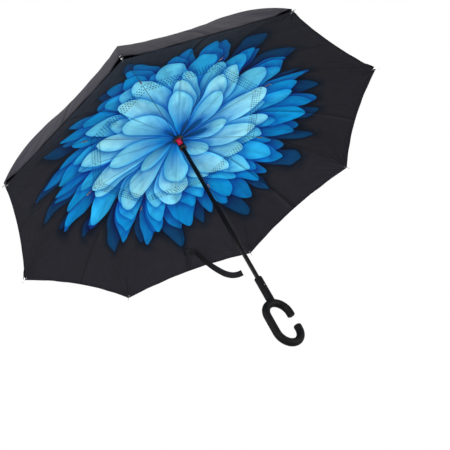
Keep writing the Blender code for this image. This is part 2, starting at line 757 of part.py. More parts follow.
def tips(finish):
    """Metal tips: a sleeve on the rod's end, a pin and a small ball."""
    bore = ROD_RADIUS + FIT_GAP
    outline = [(0, FIT_GAP), (bore, FIT_GAP), (bore, -TIP_SLEEVE), (TIP_RADIUS, -TIP_SLEEVE)]
    outline += [(TIP_RADIUS, TIP_SHOULDER), (TIP_PIN_RADIUS, TIP_SHOULDER + TIP_CONE)]
    neck_angle = math.asin(TIP_PIN_RADIUS / TIP_BALL_RADIUS)
    for i in range(BALL_STEPS + 1):
        angle = HALF_TURN - neck_angle - (HALF_TURN - neck_angle) * i / BALL_STEPS
        outline.append((TIP_BALL_RADIUS * math.sin(angle), TIP_PIN + TIP_BALL_RADIUS * math.cos(angle)))
    outline[-1] = (0, TIP_PIN + TIP_BALL_RADIUS)
    mesh = turned_mesh("tip", outline, PIN_SIDES)
    heading = directions(arc(ROD_HINGE, ROD_END, ROD_BULGE))[-1]
    mesh.transform(Vector((0, 0, 1)).rotation_difference(heading).to_matrix().to_4x4())
    around("tip", mesh, finish, ROD_END)


def struts(finish):
    """Flat steel struts, each with a cross pin in the crown hub and one at its knee for the bow."""
    line = arc(Vector((0, 0, 0)), KNEE - CROWN_HINGE, STRUT_BULGE)
    low, high = STRUT_OFFSET - STRUT_HALF_WIDTH, STRUT_OFFSET + STRUT_HALF_WIDTH
    bar = plate_mesh("bar", bar_outline(line, BAR_HALF_HEIGHT), [], low, high)
    hub_middle = Vector((0, STRUT_OFFSET, 0))
    hub_pin = pin_mesh("hub_pin", hub_middle, (0, 1, 0), HINGE_PIN_RADIUS, hub_pin_length(), ROD_SIDES)
    knee_low = BOW_OFFSET - EYE_HALF_WIDTH
    knee_middle = line[-1] + Vector((0, (knee_low + STRUT_OFFSET) / 2, 0))
    knee_length = STRUT_OFFSET - knee_low
    knee_pin = pin_mesh("knee_pin", knee_middle, (0, 1, 0), HINGE_PIN_RADIUS, knee_length, ROD_SIDES)
    around("strut", combined("strut", bar, joins=[hub_pin, knee_pin]), finish, CROWN_HINGE)


def bows(finish):
    """Fibreglass bows from the struts' knees down to the rib tips."""
    mesh = hinged_rod("bow", KNEE, ROD_END, BOW_BULGE, BOW_RADIUS, EYE_HOLE + FIT_GAP)
    mesh.transform(Matrix.Translation((0, BOW_OFFSET, 0)))
    around("bow", mesh, finish, KNEE)


# Canopies
def lengths_along(points):
    total = [0.0]
    for a, b in zip(points, points[1:]):
        total.append(total[-1] + (b - a).length)
    return total


def point_at(points, lengths, distance):
    """The point of a line that lies this far along it."""
    for a, b, low, high in zip(points, points[1:], lengths, lengths[1:]):
        if distance <= high:
            return a.lerp(b, (distance - low) / (high - low))
    return points[-1]


def canopy_point(line, lengths, row, u, azimuth):
    """A point of the fabric at a share u of the way from one rib to the next."""
    rim = lengths[-1]
    distance = lengths[row] * (1 - RIM_SAG / rim * 4 * u * (1 - u))
    p = point_at(line, lengths, distance)
    here = Matrix.Rotation(azimuth, 3, "Z") @ p
    there = Matrix.Rotation(azimuth + FULL_TURN / RIB_COUNT, 3, "Z") @ p
    return here.lerp(there, u)


def canopy_mesh(name, line, thickness):
    """A closed fabric skin that hangs over eight ribs, from its clamped edge to its scalloped rim.

    line is the side that faces the ribs, and thickness is added to it upwards, or downwards if negative.
    """
    lengths = lengths_along(line)
    bm = bmesh.new()
    rings = []
    for row in range(len(line)):
        ring = []
        for index in range(RIB_COUNT):
            for step in range(GORE_STEPS):
                p = canopy_point(line, lengths, row, step / GORE_STEPS, rib_azimuth(index))
                pair = (bm.verts.new(p), bm.verts.new(p + Vector((0, 0, thickness))))
                ring.append(pair)
        rings.append(ring)
    for a, b in zip(rings, rings[1:]):
        for i in range(len(a)):
            j = (i + 1) % len(a)
            for side in (0, 1):
                bm.faces.new((a[i][side], a[j][side], b[j][side], b[i][side]))
    for ring in (rings[0], rings[-1]):
        for i in range(len(ring)):
            j = (i + 1) % len(ring)
            bm.faces.new((ring[i][0], ring[j][0], ring[j][1], ring[i][1]))
    return finished(bm, name)


def inner_line():
    """The line of the inner canopy's upper side along a rib."""
    clamp = RUNNER_TOP + FIT_GAP + FABRIC_THICKNESS
    below = RIB_HINGE.z - BAR_HALF_HEIGHT - SEAM_CLEARANCE
    outer = (RIB_HUB_RADIUS + CLAMP_WIDTH) / GORE_NARROWING
    line = [
        Vector(((BORE_RADIUS + FIT_GAP) / GORE_NARROWING, 0, clamp)),
        Vector((outer, 0, clamp)),
        Vector((outer + LEVEL_OUT_WIDTH, 0, below)),
        Vector((ROD_HINGE.x / 2, 0, below)),
        Vector((ROD_HINGE.x, 0, below)),
    ]
    drop = TIP_RADIUS + SEAM_CLEARANCE
    points = arc(ROD_HINGE, ROD_END, ROD_BULGE)
    for p, d in list(zip(points, directions(points)))[1:]:
        line.append(p + Vector((d.z, 0, -d.x)) * drop)
    return line


def outer_line():
    """The line of the outer canopy's lower side, high enough to clear the struts and bows beside it."""
    clamp = CROWN_HUB_TOP + FIT_GAP
    hole = (SHAFT_RADIUS + FIT_GAP) / GORE_NARROWING
    line = [Vector((hole, 0, clamp)), Vector(((CROWN_HUB_RADIUS + CLAMP_WIDTH) / GORE_NARROWING, 0, clamp))]
    spread = math.tan(HALF_TURN / RIB_COUNT)
    strut = arc(CROWN_HINGE, KNEE, STRUT_BULGE)[1:-1]
    bow = arc(KNEE, ROD_END, BOW_BULGE)
    beside_strut = (STRUT_OFFSET + STRUT_HALF_WIDTH, BAR_HALF_HEIGHT)
    beside_bow = (BOW_OFFSET + BOW_RADIUS, BOW_RADIUS)
    rows = [(p, d, *beside_strut) for p, d in zip(strut, directions(strut))]
    for row, (p, d) in enumerate(zip(bow, directions(bow))):
        rows.append((p, d, *(beside_bow if row > 1 else beside_strut)))
    for p, d, reach, half in rows:
        steep = max(-d.z / d.x, 0)
        lift = (half + SEAM_CLEARANCE) / d.x + reach * spread * steep
        line.append(p + Vector((0, 0, lift)))
    return line


def canopies(printed, plain):
    inner = canopy_mesh("inner_canopy", inner_line(), -FABRIC_THICKNESS)
    place("inner_canopy", inner, printed)
    outer = canopy_mesh("outer_canopy", outer_line(), FABRIC_THICKNESS)
    place("outer_canopy", outer, plain)


# Strap
def strap_seam():
    """Where the strap starts under the inner canopy in mid-gore, and the fabric's level and sloping ways."""
    line = inner_line()
    lengths = lengths_along(line)
    distance = lengths[-1] - RIM_SAG - STRAP_SEAM_FROM_RIM
    gore = rib_azimuth(STRAP_RIB - 1)
    middle = gore + HALF_TURN / RIB_COUNT
    ends = []
    for along in (distance, distance + STRAP_WIDTH):
        p = point_at(line, lengths, along)
        here = Matrix.Rotation(gore, 3, "Z") @ p
        there = Matrix.Rotation(gore + FULL_TURN / RIB_COUNT, 3, "Z") @ p
        ends.append(here.lerp(there, 1 / 2))
    down_slope = (ends[1] - ends[0]).normalized()
    level = Vector((math.sin(middle), -math.cos(middle), 0))
    below = FABRIC_THICKNESS + STRAP_SEAM_GAP + STRAP_THICKNESS / 2
    return ends[0] + down_slope.cross(level) * below, level, down_slope


def strap(finish):
    """A ribbon that leaves its seam level, hangs down past the rim and curls up at its free end."""
    start, level, down_slope = strap_seam()
    route = [level * a * STRAP_DROP + Vector((0, 0, b * STRAP_DROP)) for a, b in STRAP_ROUTE_SHARES]
    bm = bmesh.new()
    loops = []
    for i, (p, d) in enumerate(zip(route, directions(route))):
        side = (down_slope - d * d.dot(down_slope)).normalized()
        side = Matrix.Rotation(STRAP_TWIST * i / (len(route) - 1), 3, d) @ side
        normal = side.cross(d).normalized() * STRAP_THICKNESS / 2
        edge = side * STRAP_WIDTH / 2
        corners = (p - edge - normal, p + edge - normal, p + edge + normal, p - edge + normal)
        loops.append([bm.verts.new(c) for c in corners])
    upper = len(loops[0]) // 2
    # The ribbon twists, so its walls are made of flat triangles, with one diagonal for both of its sides.
    for a, b in zip(loops, loops[1:]):
        for i in range(len(a)):
            j = (i + 1) % len(a)
            halves = ((a[i], a[j], b[j]), (a[i], b[j], b[i]))
            if i == upper:
                halves = ((a[i], a[j], b[i]), (a[j], b[j], b[i]))
            for half in halves:
                bm.faces.new(half)
    bm.faces.new(loops[0])
    bm.faces.new(loops[-1])
    place("strap", finished(bm, "strap"), finish, start)


def main():
    for old in list(bpy.data.objects):
        bpy.data.objects.remove(old)
    soft_grip = material("soft_grip", (0.012, 0.012, 0.013), 0.55)
    black_plastic = material("black_plastic", (0.015, 0.015, 0.017), 0.4)
    red_plastic = material("red_plastic", (0.62, 0.03, 0.08), 0.35)
    black_steel = material("black_steel", (0.02, 0.02, 0.022), 0.3, 0.8)
    bright_steel = material("bright_steel", (0.6, 0.6, 0.62), 0.3, 1.0)
    fibreglass = material("fibreglass", (0.03, 0.03, 0.032), 0.35)
    printed_cloth = material("printed_cloth", (0.03, 0.2, 0.5), 0.75)
    black_cloth = material("black_cloth", (0.02, 0.02, 0.025), 0.7)
    ribbon = material("ribbon", (0.012, 0.012, 0.014), 0.6)

    grip(soft_grip)
    grip_neck(soft_grip)
    shaft(black_steel)
    neck_pin(bright_steel)
    runner(black_plastic)
    button(red_plastic)
    latch_plate(bright_steel)
    button_spring(bright_steel)
    rib_hub(black_plastic)
    rib_wire(bright_steel)
    crown_hub(black_plastic)
    crown_pin(bright_steel)
    crown_cap(black_plastic)
    channels(black_steel)
    rods(fibreglass)
    tips(bright_steel)
    struts(black_steel)
    bows(fibreglass)
    canopies(printed_cloth, black_cloth)
    strap(ribbon)


main()
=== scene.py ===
# %% [markdown]
# # An inverted umbrella, dressed
# The frame of this umbrella is already built: grip, shaft, runner, ribs, struts, bows and two plain
# skins of cloth. This lesson gives it its finish. The cloth is remade as sewn gores, with a printed
# flower, hems, seams and rows of small holes, and the hard parts get rounder shapes and real surfaces.
# Every new piece takes its place from the frame, so that nothing has to be fitted afterwards.

# %% Load the frame
import json
import math
import random

import bmesh
import bpy
import numpy as np
from mathutils import Matrix, Vector


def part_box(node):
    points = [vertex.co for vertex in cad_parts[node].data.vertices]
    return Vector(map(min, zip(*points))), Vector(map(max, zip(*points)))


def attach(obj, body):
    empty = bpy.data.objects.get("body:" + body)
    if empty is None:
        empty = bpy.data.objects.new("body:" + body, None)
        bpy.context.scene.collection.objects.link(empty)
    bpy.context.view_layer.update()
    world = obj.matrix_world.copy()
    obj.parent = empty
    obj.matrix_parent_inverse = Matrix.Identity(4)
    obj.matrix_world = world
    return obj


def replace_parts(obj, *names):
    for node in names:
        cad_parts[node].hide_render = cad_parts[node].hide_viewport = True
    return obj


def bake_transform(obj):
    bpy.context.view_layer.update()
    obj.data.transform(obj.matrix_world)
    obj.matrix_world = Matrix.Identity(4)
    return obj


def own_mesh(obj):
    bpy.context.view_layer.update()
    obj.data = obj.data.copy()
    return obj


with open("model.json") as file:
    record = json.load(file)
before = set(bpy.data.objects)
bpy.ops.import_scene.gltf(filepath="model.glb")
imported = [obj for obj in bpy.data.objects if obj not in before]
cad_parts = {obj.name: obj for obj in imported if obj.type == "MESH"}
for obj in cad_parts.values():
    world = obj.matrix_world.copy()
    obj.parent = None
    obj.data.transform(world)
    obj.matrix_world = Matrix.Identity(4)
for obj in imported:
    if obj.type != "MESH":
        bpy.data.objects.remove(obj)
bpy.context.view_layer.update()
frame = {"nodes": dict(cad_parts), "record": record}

# %% Small helpers
scene = bpy.context.scene


def add_object(name, data):
    """A new object in the scene, at the origin."""
    made = bpy.data.objects.new(name, data)
    scene.collection.objects.link(made)
    return made


def written(bm, name):
    """What was built in bm, as a mesh."""
    mesh = bpy.data.meshes.new(name)
    bm.to_mesh(mesh)
    bm.free()
    return mesh


def evaluated_mesh(made):
    """A plain mesh of the object as its modifiers leave it."""
    depsgraph = bpy.context.evaluated_depsgraph_get()
    return bpy.data.meshes.new_from_object(made.evaluated_get(depsgraph), depsgraph=depsgraph)


def box_of(node):
    """The lowest and the highest corner of a piece of the frame."""
    return [Vector(corner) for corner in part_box(node)]

# %% [markdown]
# ## Camera
# The umbrella is held in a hand, and the photographer stands lower than it and looks up into the open
# canopy. The camera's two axes and its place were found from the eight rib tips and the shaft. Written
# as axes, the camera can't tilt by accident, as it does when angles are typed one by one.

# %% Camera
CAMERA_PLACE = Vector((-1.4097, -1.5137, -0.9501))
CAMERA_RIGHT = Vector((0.8022, -0.4108, -0.4333)).normalized()
CAMERA_UP = Vector((0.0755, -0.6501, 0.7561))
CAMERA_LENS = 72.67
CAMERA_BACK = CAMERA_RIGHT.cross(CAMERA_UP).normalized()
CAMERA_UP = CAMERA_BACK.cross(CAMERA_RIGHT)

scene.view_settings.view_transform = "Standard"
camera = add_object("camera", bpy.data.cameras.new("camera"))
camera.data.lens = CAMERA_LENS
camera.matrix_world = Matrix.Translation(CAMERA_PLACE) @ Matrix(
    [CAMERA_RIGHT, CAMERA_UP, CAMERA_BACK]
).transposed().to_4x4()
scene.camera = camera
print("camera looks up by", round(math.degrees(math.asin(-CAMERA_BACK.z)), 1), "degrees")

# %% [markdown]
# ## Node networks, written as sums
# Materials and geometry trees are both networks of nodes. Wiring them by hand hides the idea behind a
# hundred lines of links. Here a small class stands for the output of a node, so that `1 - mask * 2`
# adds its own Math nodes, and one method makes any other node from its type, settings and inputs.

# %% Values and networks
class Value:
    """One output of a node, which takes part in sums like a number."""

    def __init__(self, network, socket):
        self.network = network
        self.socket = socket

    def __add__(self, other):
        return self.network.math("ADD", self, other)

    def __radd__(self, other):
        return self.network.math("ADD", other, self)

    def __sub__(self, other):
        return self.network.math("SUBTRACT", self, other)

    def __rsub__(self, other):
        return self.network.math("SUBTRACT", other, self)

    def __mul__(self, other):
        return self.network.math("MULTIPLY", self, other)

    def __rmul__(self, other):
        return self.network.math("MULTIPLY", other, self)

    def __truediv__(self, other):
        return self.network.math("DIVIDE", self, other)

    def __rtruediv__(self, other):
        return self.network.math("DIVIDE", other, self)

    def __pow__(self, other):
        return self.network.math("POWER", self, other)

    def __rpow__(self, other):
        return self.network.math("POWER", other, self)


class Network:
    """A node tree that is filled from Python."""

    def __init__(self, tree):
        self.tree = tree

    def put(self, socket, value):
        if isinstance(value, Value):
            self.tree.links.new(value.socket, socket)
        else:
            socket.default_value = value

    def node(self, kind, settings=None, inputs=None, output=0):
        """Makes a node and gives back one of its outputs, or all of them by name when output is None."""
        made = self.tree.nodes.new(kind)
        for name, setting in (settings or {}).items():
            setattr(made, name, setting)
        for name, value in (inputs or {}).items():
            self.put(made.inputs[name], value)
        if output is None:
            return {each.name: Value(self, each) for each in made.outputs}
        return Value(self, made.outputs[output])

    def math(self, operation, *values, clamp=False):
        settings = {"operation": operation, "use_clamp": clamp}
        return self.node("ShaderNodeMath", settings, dict(enumerate(values)))

    def limited(self, value):
        """The value, kept between 0 and 1."""
        return self.math("ADD", value, 0.0, clamp=True)

    def split(self, vector):
        """The three numbers of a vector."""
        return list(self.node("ShaderNodeSeparateXYZ", None, {0: vector}, None).values())


# %% [markdown]
# ## Studio
# The photograph has a white background and soft light with few shadows. A pale world lights everything
# a little, one broad lamp beside the camera lights the underside, one at the upper left and one at the
# right give the black cloth its shine, and a weak one above lights the top. Rays from the camera, and
# reflections, see pure white in the world instead of its working level, so the white doesn't cost the
# object its colours.

# %% World and lamps
WORLD_LEVEL = 0.5
MIDDLE = Vector((0, 0, 0.36))
# metres to the right, up and towards the camera, then the lamp's size and its power in watts
LAMPS = {
    "beside_camera": (-0.6, 0.4, 2.3, 1.5, 52.0),
    "upper_left": (-2.2, 0.5, 0.7, 1.2, 30.0),
    "right": (2.2, 0.2, 0.9, 1.2, 36.0),
    "above": (0.2, 2.3, -1.2, 1.4, 7.0),
}


def white_rays(network):
    """1 for rays that should see the background as white: from the camera, and in reflections."""
    path = network.node("ShaderNodeLightPath", output=None)
    return network.limited(path["Is Camera Ray"] + path["Is Glossy Ray"] + path["Is Transmission Ray"])


def studio_world():
    world = bpy.data.worlds.new("studio")
    world.use_nodes = True
    network = Network(world.node_tree)
    working = network.node("ShaderNodeBackground", None, {"Color": (1, 1, 1, 1), "Strength": WORLD_LEVEL})
    white = network.node("ShaderNodeBackground", None, {"Color": (1, 1, 1, 1), "Strength": 1.0})
    mixed = network.node("ShaderNodeMixShader", None, {0: white_rays(network), 1: working, 2: white})
    network.put(world.node_tree.nodes["World Output"].inputs["Surface"], mixed)
    return world


def soft_lamp(name, across, above, nearer, size, power):
    """A broad square lamp, placed along the camera's axes and aimed at the umbrella's middle."""
    data = bpy.data.lights.new(name, "AREA")
    data.size = size
    data.energy = power
    lamp = add_object(name, data)
    lamp.location = MIDDLE + CAMERA_RIGHT * across + CAMERA_UP * above + CAMERA_BACK * nearer
    lamp.rotation_euler = (MIDDLE - lamp.location).to_track_quat("-Z", "Y").to_euler()
    lamp.visible_camera = False


scene.world = studio_world()
for lamp_name, numbers in LAMPS.items():
    soft_lamp(lamp_name, *numbers)
print("lamps:", len(LAMPS))

# %% [markdown]
# ## Floor
# The hand that holds the umbrella is about 1.2 m above the ground, so the floor lies that far below the
# grip. It is a plain pale disc that takes the umbrella's shadow. Towards its edge it fades to the white
# of the background, for the camera and in reflections, and so no horizon shows in a view from above.

# %% Floor
FLOOR_HEIGHT = -1.2
FLOOR_RADIUS = 6.0
FLOOR_SIDES = 96
FADE_START = 0.75
FADE_WIDTH = 0.9
FLOOR_COLOUR = (0.84, 0.84, 0.83, 1)


def floor_finish():
    made = bpy.data.materials.new("floor")
    made.use_nodes = True
    network = Network(made.node_tree)
    shader = made.node_tree.nodes["Principled BSDF"]
    shader.inputs["Base Color"].default_value = FLOOR_COLOUR
    shader.inputs["Roughness"].default_value = 0.9
    place = network.node("ShaderNodeTexCoord", output="Object")
    radius = network.node("ShaderNodeVectorMath", {"operation": "LENGTH"}, {0: place}, "Value")
    faded = network.limited((radius - FADE_START) / FADE_WIDTH) * white_rays(network)
    white = network.node("ShaderNodeEmission", None, {"Color": (1, 1, 1, 1), "Strength": 1.0})
    mixed = network.node(
        "ShaderNodeMixShader", None, {0: faded, 1: Value(network, shader.outputs["BSDF"]), 2: white}
    )
    network.put(made.node_tree.nodes["Material Output"].inputs["Surface"], mixed)
    return made


floor_bm = bmesh.new()
bmesh.ops.create_circle(floor_bm, cap_ends=True, segments=FLOOR_SIDES, radius=FLOOR_RADIUS)
floor = add_object("floor", written(floor_bm, "floor"))
floor.location.z = FLOOR_HEIGHT
floor.data.materials.append(floor_finish())
print("floor across in metres:", 2 * FLOOR_RADIUS)

# %% [markdown]
# ## Colours and a recipe for a finish
# Colours are written as a screen shows them, from 0 to 255, and turned into the light values that
# Blender works in. A recipe is a network that starts with the usual surface shader. Anything that is
# the same all over a surface is set on the shader itself, and only what changes is worked out in nodes.

# %% Colours
def srgb(red, green, blue):
    """A colour as a screen shows it, turned into linear light."""
    shares = [value / 255 for value in (red, green, blue)]
    return (*[s / 12.92 if s <= 0.04045 else ((s + 0.055) / 1.055) ** 2.4 for s in shares], 1)


print("middle grey as light:", round(srgb(128, 128, 128)[0], 3))

# %% Recipe class
RIB_COUNT = 8
PULLS_PER_TURN = 4.5
RIB_STRIDE = 17.0
PULL_STRETCH = 5.0
PULL_REACH = 0.12
PULL_START = 0.03
PULL_DEPTH = 0.01
SLACK_PER_TURN = 37.0
SLACK_STRETCH = 3.0
SLACK_DEPTH = 0.02


class Recipe(Network):
    """A material with one Principled shader, whose even qualities are given by name."""

    def __init__(self, name, **even):
        self.material = bpy.data.materials.new(name)
        self.material.use_nodes = True
        super().__init__(self.material.node_tree)
        self.shader = self.tree.nodes["Principled BSDF"]
        for quality, value in even.items():
            self.shader.inputs[quality.replace("_", " ")].default_value = value

    def uv(self):
        return self.node("ShaderNodeTexCoord", output="UV")

    def place(self):
        return self.node("ShaderNodeTexCoord", output="Object")

    def stretched(self, vector, scale):
        return self.node("ShaderNodeMapping", None, {"Vector": vector, "Scale": scale})

    def noise(self, vector, scale, detail=2.0, dimensions="3D"):
        inputs = {"Vector": vector, "Scale": scale, "Detail": detail}
        return self.node("ShaderNodeTexNoise", {"noise_dimensions": dimensions}, inputs)

    def mix(self, factor, first, second):
        return self.node("ShaderNodeMix", {"data_type": "RGBA"}, {0: factor, 6: first, 7: second}, 2)

    def tinted(self, factor, colour, tint):
        settings = {"data_type": "RGBA", "blend_type": "MULTIPLY"}
        return self.node("ShaderNodeMix", settings, {0: factor, 6: colour, 7: tint}, 2)

    def dimmed(self, colour, level):
        return self.node("ShaderNodeVectorMath", {"operation": "SCALE"}, {0: colour, "Scale": level})

    def weave(self, pitch):
        """Threads over and under each other on the cloth's own UV map, from 0 to 1."""
        turn = math.tau / pitch / 2
        waves = [self.math("SINE", way * turn) for way in self.split(self.uv())[:2]]
        return waves[0] * waves[1] * 0.5 + 0.5

    def polar(self):
        """The share of a full turn round the shaft, and the distance from it on the flat cloth."""
        east, north = self.split(self.uv())[:2]
        distance = self.node("ShaderNodeVectorMath", {"operation": "LENGTH"}, {0: self.uv()}, "Value")
        return self.math("ARCTAN2", north, east) / math.tau, distance

    def creases(self, turn, distance, length):
        """Pulls that fan out from each rib tip, and slack between two ribs, as heights in metres."""
        from_rib = turn * RIB_COUNT + 0.5
        rib = self.math("FLOOR", from_rib)
        angle = (from_rib - rib - 0.5) * (math.tau / RIB_COUNT)
        back = length - distance * self.math("COSINE", angle)
        aside = distance * self.math("SINE", angle)
        away = (back * back + aside * aside) ** 0.5
        fan = self.math("ARCTAN2", aside, back) * PULLS_PER_TURN + rib * RIB_STRIDE
        spread = self.node("ShaderNodeCombineXYZ", None, {0: fan, 1: away * PULL_STRETCH})
        rays = self.noise(spread, scale=1.0, dimensions="2D")
        near_tip = 1 / (1 + (away / PULL_REACH) ** 2.0)
        rising = self.math("MULTIPLY", away, 1 / PULL_START, clamp=True)
        places = {0: turn * SLACK_PER_TURN, 1: distance * SLACK_STRETCH}
        slack = self.node("ShaderNodeCombineXYZ", None, places)
        waves = self.noise(slack, scale=1.0, dimensions="2D") * distance
        return rays * near_tip * rising * PULL_DEPTH + waves * SLACK_DEPTH

    def finish(self, colour=None, roughness=None, height=None, depth=0.001, strength=0.5):
        if colour is not None:
            self.put(self.shader.inputs["Base Color"], colour)
        if roughness is not None:
            self.put(self.shader.inputs["Roughness"], roughness)
        if height is not None:
            inputs = {"Strength": strength, "Distance": depth, "Height": height}
            self.put(self.shader.inputs["Normal"], self.node("ShaderNodeBump", None, inputs))
        return self.material


# %% [markdown]
# ## Hard finishes
# A moulding is never one flat colour: it has a fine grain, slightly duller and shinier spots, and marks
# where hands and sliding parts rub it. One function makes them all but the lacquer, from the scale and
# detail of its clouds and of its grain. Its numbers start from the real stuff: soft-touch rubber, satin
# plastic, bare nickel, glass fibre in resin. Noise in object space suits them, because these pieces
# don't stretch.

# %% Hard finishes
def grained(name, clouds, dark, light, roughness, grain, depth, strength=0.3, **even):
    """Clouds that change the colour and the roughness, with a fine grain as relief.

    Clouds and grain are each a scale and a detail, and roughness is its least and what clouds add.
    """
    recipe = Recipe(name, **even)
    place = recipe.place()
    cloud = recipe.noise(place, *clouds)
    relief = recipe.noise(place, *grain) if grain else cloud
    least, more = roughness
    colour = recipe.mix(cloud, srgb(*dark), srgb(*light))
    return recipe.finish(colour, least + cloud * more, relief, depth, strength)


def lacquer_finish():
    """Black lacquer on the tube, with fine lengthwise scuffs where the runner slides."""
    recipe = Recipe("shaft_lacquer", Specular_IOR_Level=0.12)
    place = recipe.place()
    scuffs = recipe.noise(recipe.stretched(place, (1.0, 1.0, 0.015)), scale=700.0, detail=2.0)
    rub = recipe.noise(recipe.stretched(place, (0.1, 0.1, 1.0)), scale=30.0, detail=3.0)
    colour = recipe.mix(scuffs * rub, srgb(6, 6, 8), srgb(20, 20, 24))
    return recipe.finish(colour, roughness=0.24 + rub * 0.12, height=scuffs, depth=0.00001, strength=0.2)


rubber = grained(
    "soft_touch_rubber", clouds=(38.0, 3.0), dark=(9, 9, 10), light=(17, 17, 19), roughness=(0.4, 0.2),
    grain=(2600.0, 1.0), depth=0.00006, Specular_IOR_Level=0.06,
)
satin_plastic = grained(
    "satin_plastic", clouds=(90.0, 2.0), dark=(13, 13, 14), light=(23, 23, 25), roughness=(0.26, 0.14),
    grain=(1800.0, 1.0), depth=0.00004, Specular_IOR_Level=0.3,
)
button_plastic = grained(
    "button_plastic", clouds=(160.0, 2.0), dark=(186, 0, 44), light=(214, 10, 62), roughness=(0.24, 0.14),
    grain=(900.0, 1.0), depth=0.0001, strength=0.2,
    Specular_IOR_Level=0.5, Coat_Weight=0.35, Coat_Roughness=0.12,
)
painted_steel = grained(
    "painted_steel", clouds=(220.0, 3.0), dark=(22, 22, 24), light=(48, 48, 51), roughness=(0.34, 0.2),
    grain=(1500.0, 1.0), depth=0.00006, Metallic=0.2, Specular_IOR_Level=0.4,
)
nickel = grained(
    "bright_nickel", clouds=(700.0, 3.0), dark=(176, 176, 180), light=(214, 214, 216),
    roughness=(0.18, 0.18), grain=None, depth=0.00003, Metallic=1.0,
)
fibre = grained(
    "glass_fibre_rod", clouds=(1300.0, 2.0), dark=(24, 24, 26), light=(52, 52, 56), roughness=(0.3, 0.2),
    grain=None, depth=0.00006, strength=0.35, Specular_IOR_Level=0.5,
)
lacquer = lacquer_finish()
hard_finishes = (rubber, satin_plastic, button_plastic, painted_steel, nickel, fibre, lacquer)
print("hard finishes:", [made.name for made in hard_finishes])

# %% [markdown]
# ## Geometry trees
# Stitches and the small holes in the printed canopy repeat hundreds of times, and round stock is swept
# along a line for the strap's edges and for a spring. Each gets a geometry tree with named sizes. A tree
# runs on a throwaway object, its result is taken as a plain mesh, and the modifier goes away again.

# %% Tree class
class Tree(Network):
    """A geometry tree with named inputs, ending in real mesh with one material."""

    def __init__(self, name, sizes):
        super().__init__(bpy.data.node_groups.new(name, "GeometryNodeTree"))
        face = self.tree.interface
        face.new_socket("Geometry", in_out="INPUT", socket_type="NodeSocketGeometry")
        face.new_socket("Geometry", in_out="OUTPUT", socket_type="NodeSocketGeometry")
        for label, kind in {**sizes, "Finish": "Material"}.items():
            face.new_socket(label, in_out="INPUT", socket_type=f"NodeSocket{kind}")
        self.given = self.node("NodeGroupInput", output=None)

    def size(self, label):
        return self.given[label]

    def end(self, geometry):
        real = self.node("GeometryNodeRealizeInstances", None, {0: geometry})
        done = self.node("GeometryNodeSetMaterial", None, {0: real, "Material": self.size("Finish")})
        self.node("NodeGroupOutput", None, {0: done}, None)

    def run(self, mesh, **sizes):
        """The mesh that this tree makes from another mesh."""
        carrier = add_object("carrier", mesh)
        modifier = carrier.modifiers.new("tree", "NODES")
        modifier.node_group = self.tree
        for item in self.tree.interface.items_tree:
            if item.in_out == "INPUT" and item.name in sizes:
                modifier[item.identifier] = sizes[item.name]
        made = evaluated_mesh(carrier)
        carrier.modifiers.remove(modifier)
        bpy.data.objects.remove(carrier)
        return made


# %% The three trees
STITCH_SIDES = 6
STITCH_RINGS = 4
TILE_MERGE = 0.00002


def stitch_tree():
    """Stitches: the line becomes points at one spacing, and each point gets a small long bead."""
    tree = Tree("stitches", {"Spacing": "Float", "Length": "Float", "Thickness": "Float"})
    line = tree.node("GeometryNodeMeshToCurve", None, {0: tree.size("Geometry")})
    inputs = {0: line, "Length": tree.size("Spacing")}
    points = tree.node("GeometryNodeResampleCurve", {"mode": "LENGTH"}, inputs)
    inputs = {"Segments": STITCH_SIDES, "Rings": STITCH_RINGS, "Radius": 1.0}
    bead = tree.node("GeometryNodeMeshUVSphere", None, inputs)
    heading = tree.node("GeometryNodeInputTangent")
    turn = tree.node("FunctionNodeAlignRotationToVector", {"axis": "X"}, {"Vector": heading})
    half = tree.size("Thickness") * 0.5
    scale = tree.node("ShaderNodeCombineXYZ", None, {0: tree.size("Length") * 0.5, 1: half, 2: half})
    inputs = {"Points": points, "Instance": bead, "Rotation": turn, "Scale": scale}
    tree.end(tree.node("GeometryNodeInstanceOnPoints", None, inputs))
    return tree


def round_stock_tree():
    """Round stock: the line becomes a curve, and a circle is swept along it with closed ends."""
    tree = Tree("round_stock", {"Radius": "Float", "Sides": "Int"})
    line = tree.node("GeometryNodeMeshToCurve", None, {0: tree.size("Geometry")})
    inputs = {"Radius": tree.size("Radius"), "Resolution": tree.size("Sides")}
    circle = tree.node("GeometryNodeCurvePrimitiveCircle", {"mode": "RADIUS"}, inputs)
    swept = tree.node("GeometryNodeCurveToMesh", None, {0: line, "Profile Curve": circle, "Fill Caps": True})
    tree.end(swept)
    return tree


def hole_band_tree(tile):
    """A band of cloth with holes: one tile on each point of a grid, turned half round in odd rows."""
    sizes = {"Columns": "Int", "Rows": "Int", "Pitch": "Float", "Row Height": "Float"}
    tree = Tree("hole_band", sizes)
    columns, rows = tree.size("Columns"), tree.size("Rows")
    pitch, height = tree.size("Pitch"), tree.size("Row Height")
    sizes = {"Size X": pitch * (columns - 1), "Size Y": height * (rows - 1)}
    grid = tree.node("GeometryNodeMeshGrid", None, {**sizes, "Vertices X": columns, "Vertices Y": rows})
    up = tree.split(tree.node("GeometryNodeInputPosition"))[1]
    row = tree.math("ROUND", up / height + (rows - 1) * 0.5)
    half_turn = tree.math("FLOORED_MODULO", row, 2.0) * math.pi
    turn = tree.node("ShaderNodeCombineXYZ", None, {2: half_turn})
    source = tree.node("GeometryNodeObjectInfo", None, {"Object": tile}, "Geometry")
    inputs = {"Points": grid, "Instance": source, "Rotation": turn}
    placed = tree.node("GeometryNodeInstanceOnPoints", None, inputs)
    real = tree.node("GeometryNodeRealizeInstances", None, {0: placed})
    tree.end(tree.node("GeometryNodeMergeByDistance", None, {0: real, "Distance": TILE_MERGE}))
    return tree


stitches = stitch_tree()
round_stock = round_stock_tree()
print("nodes in the stitch tree:", len(stitches.tree.nodes))

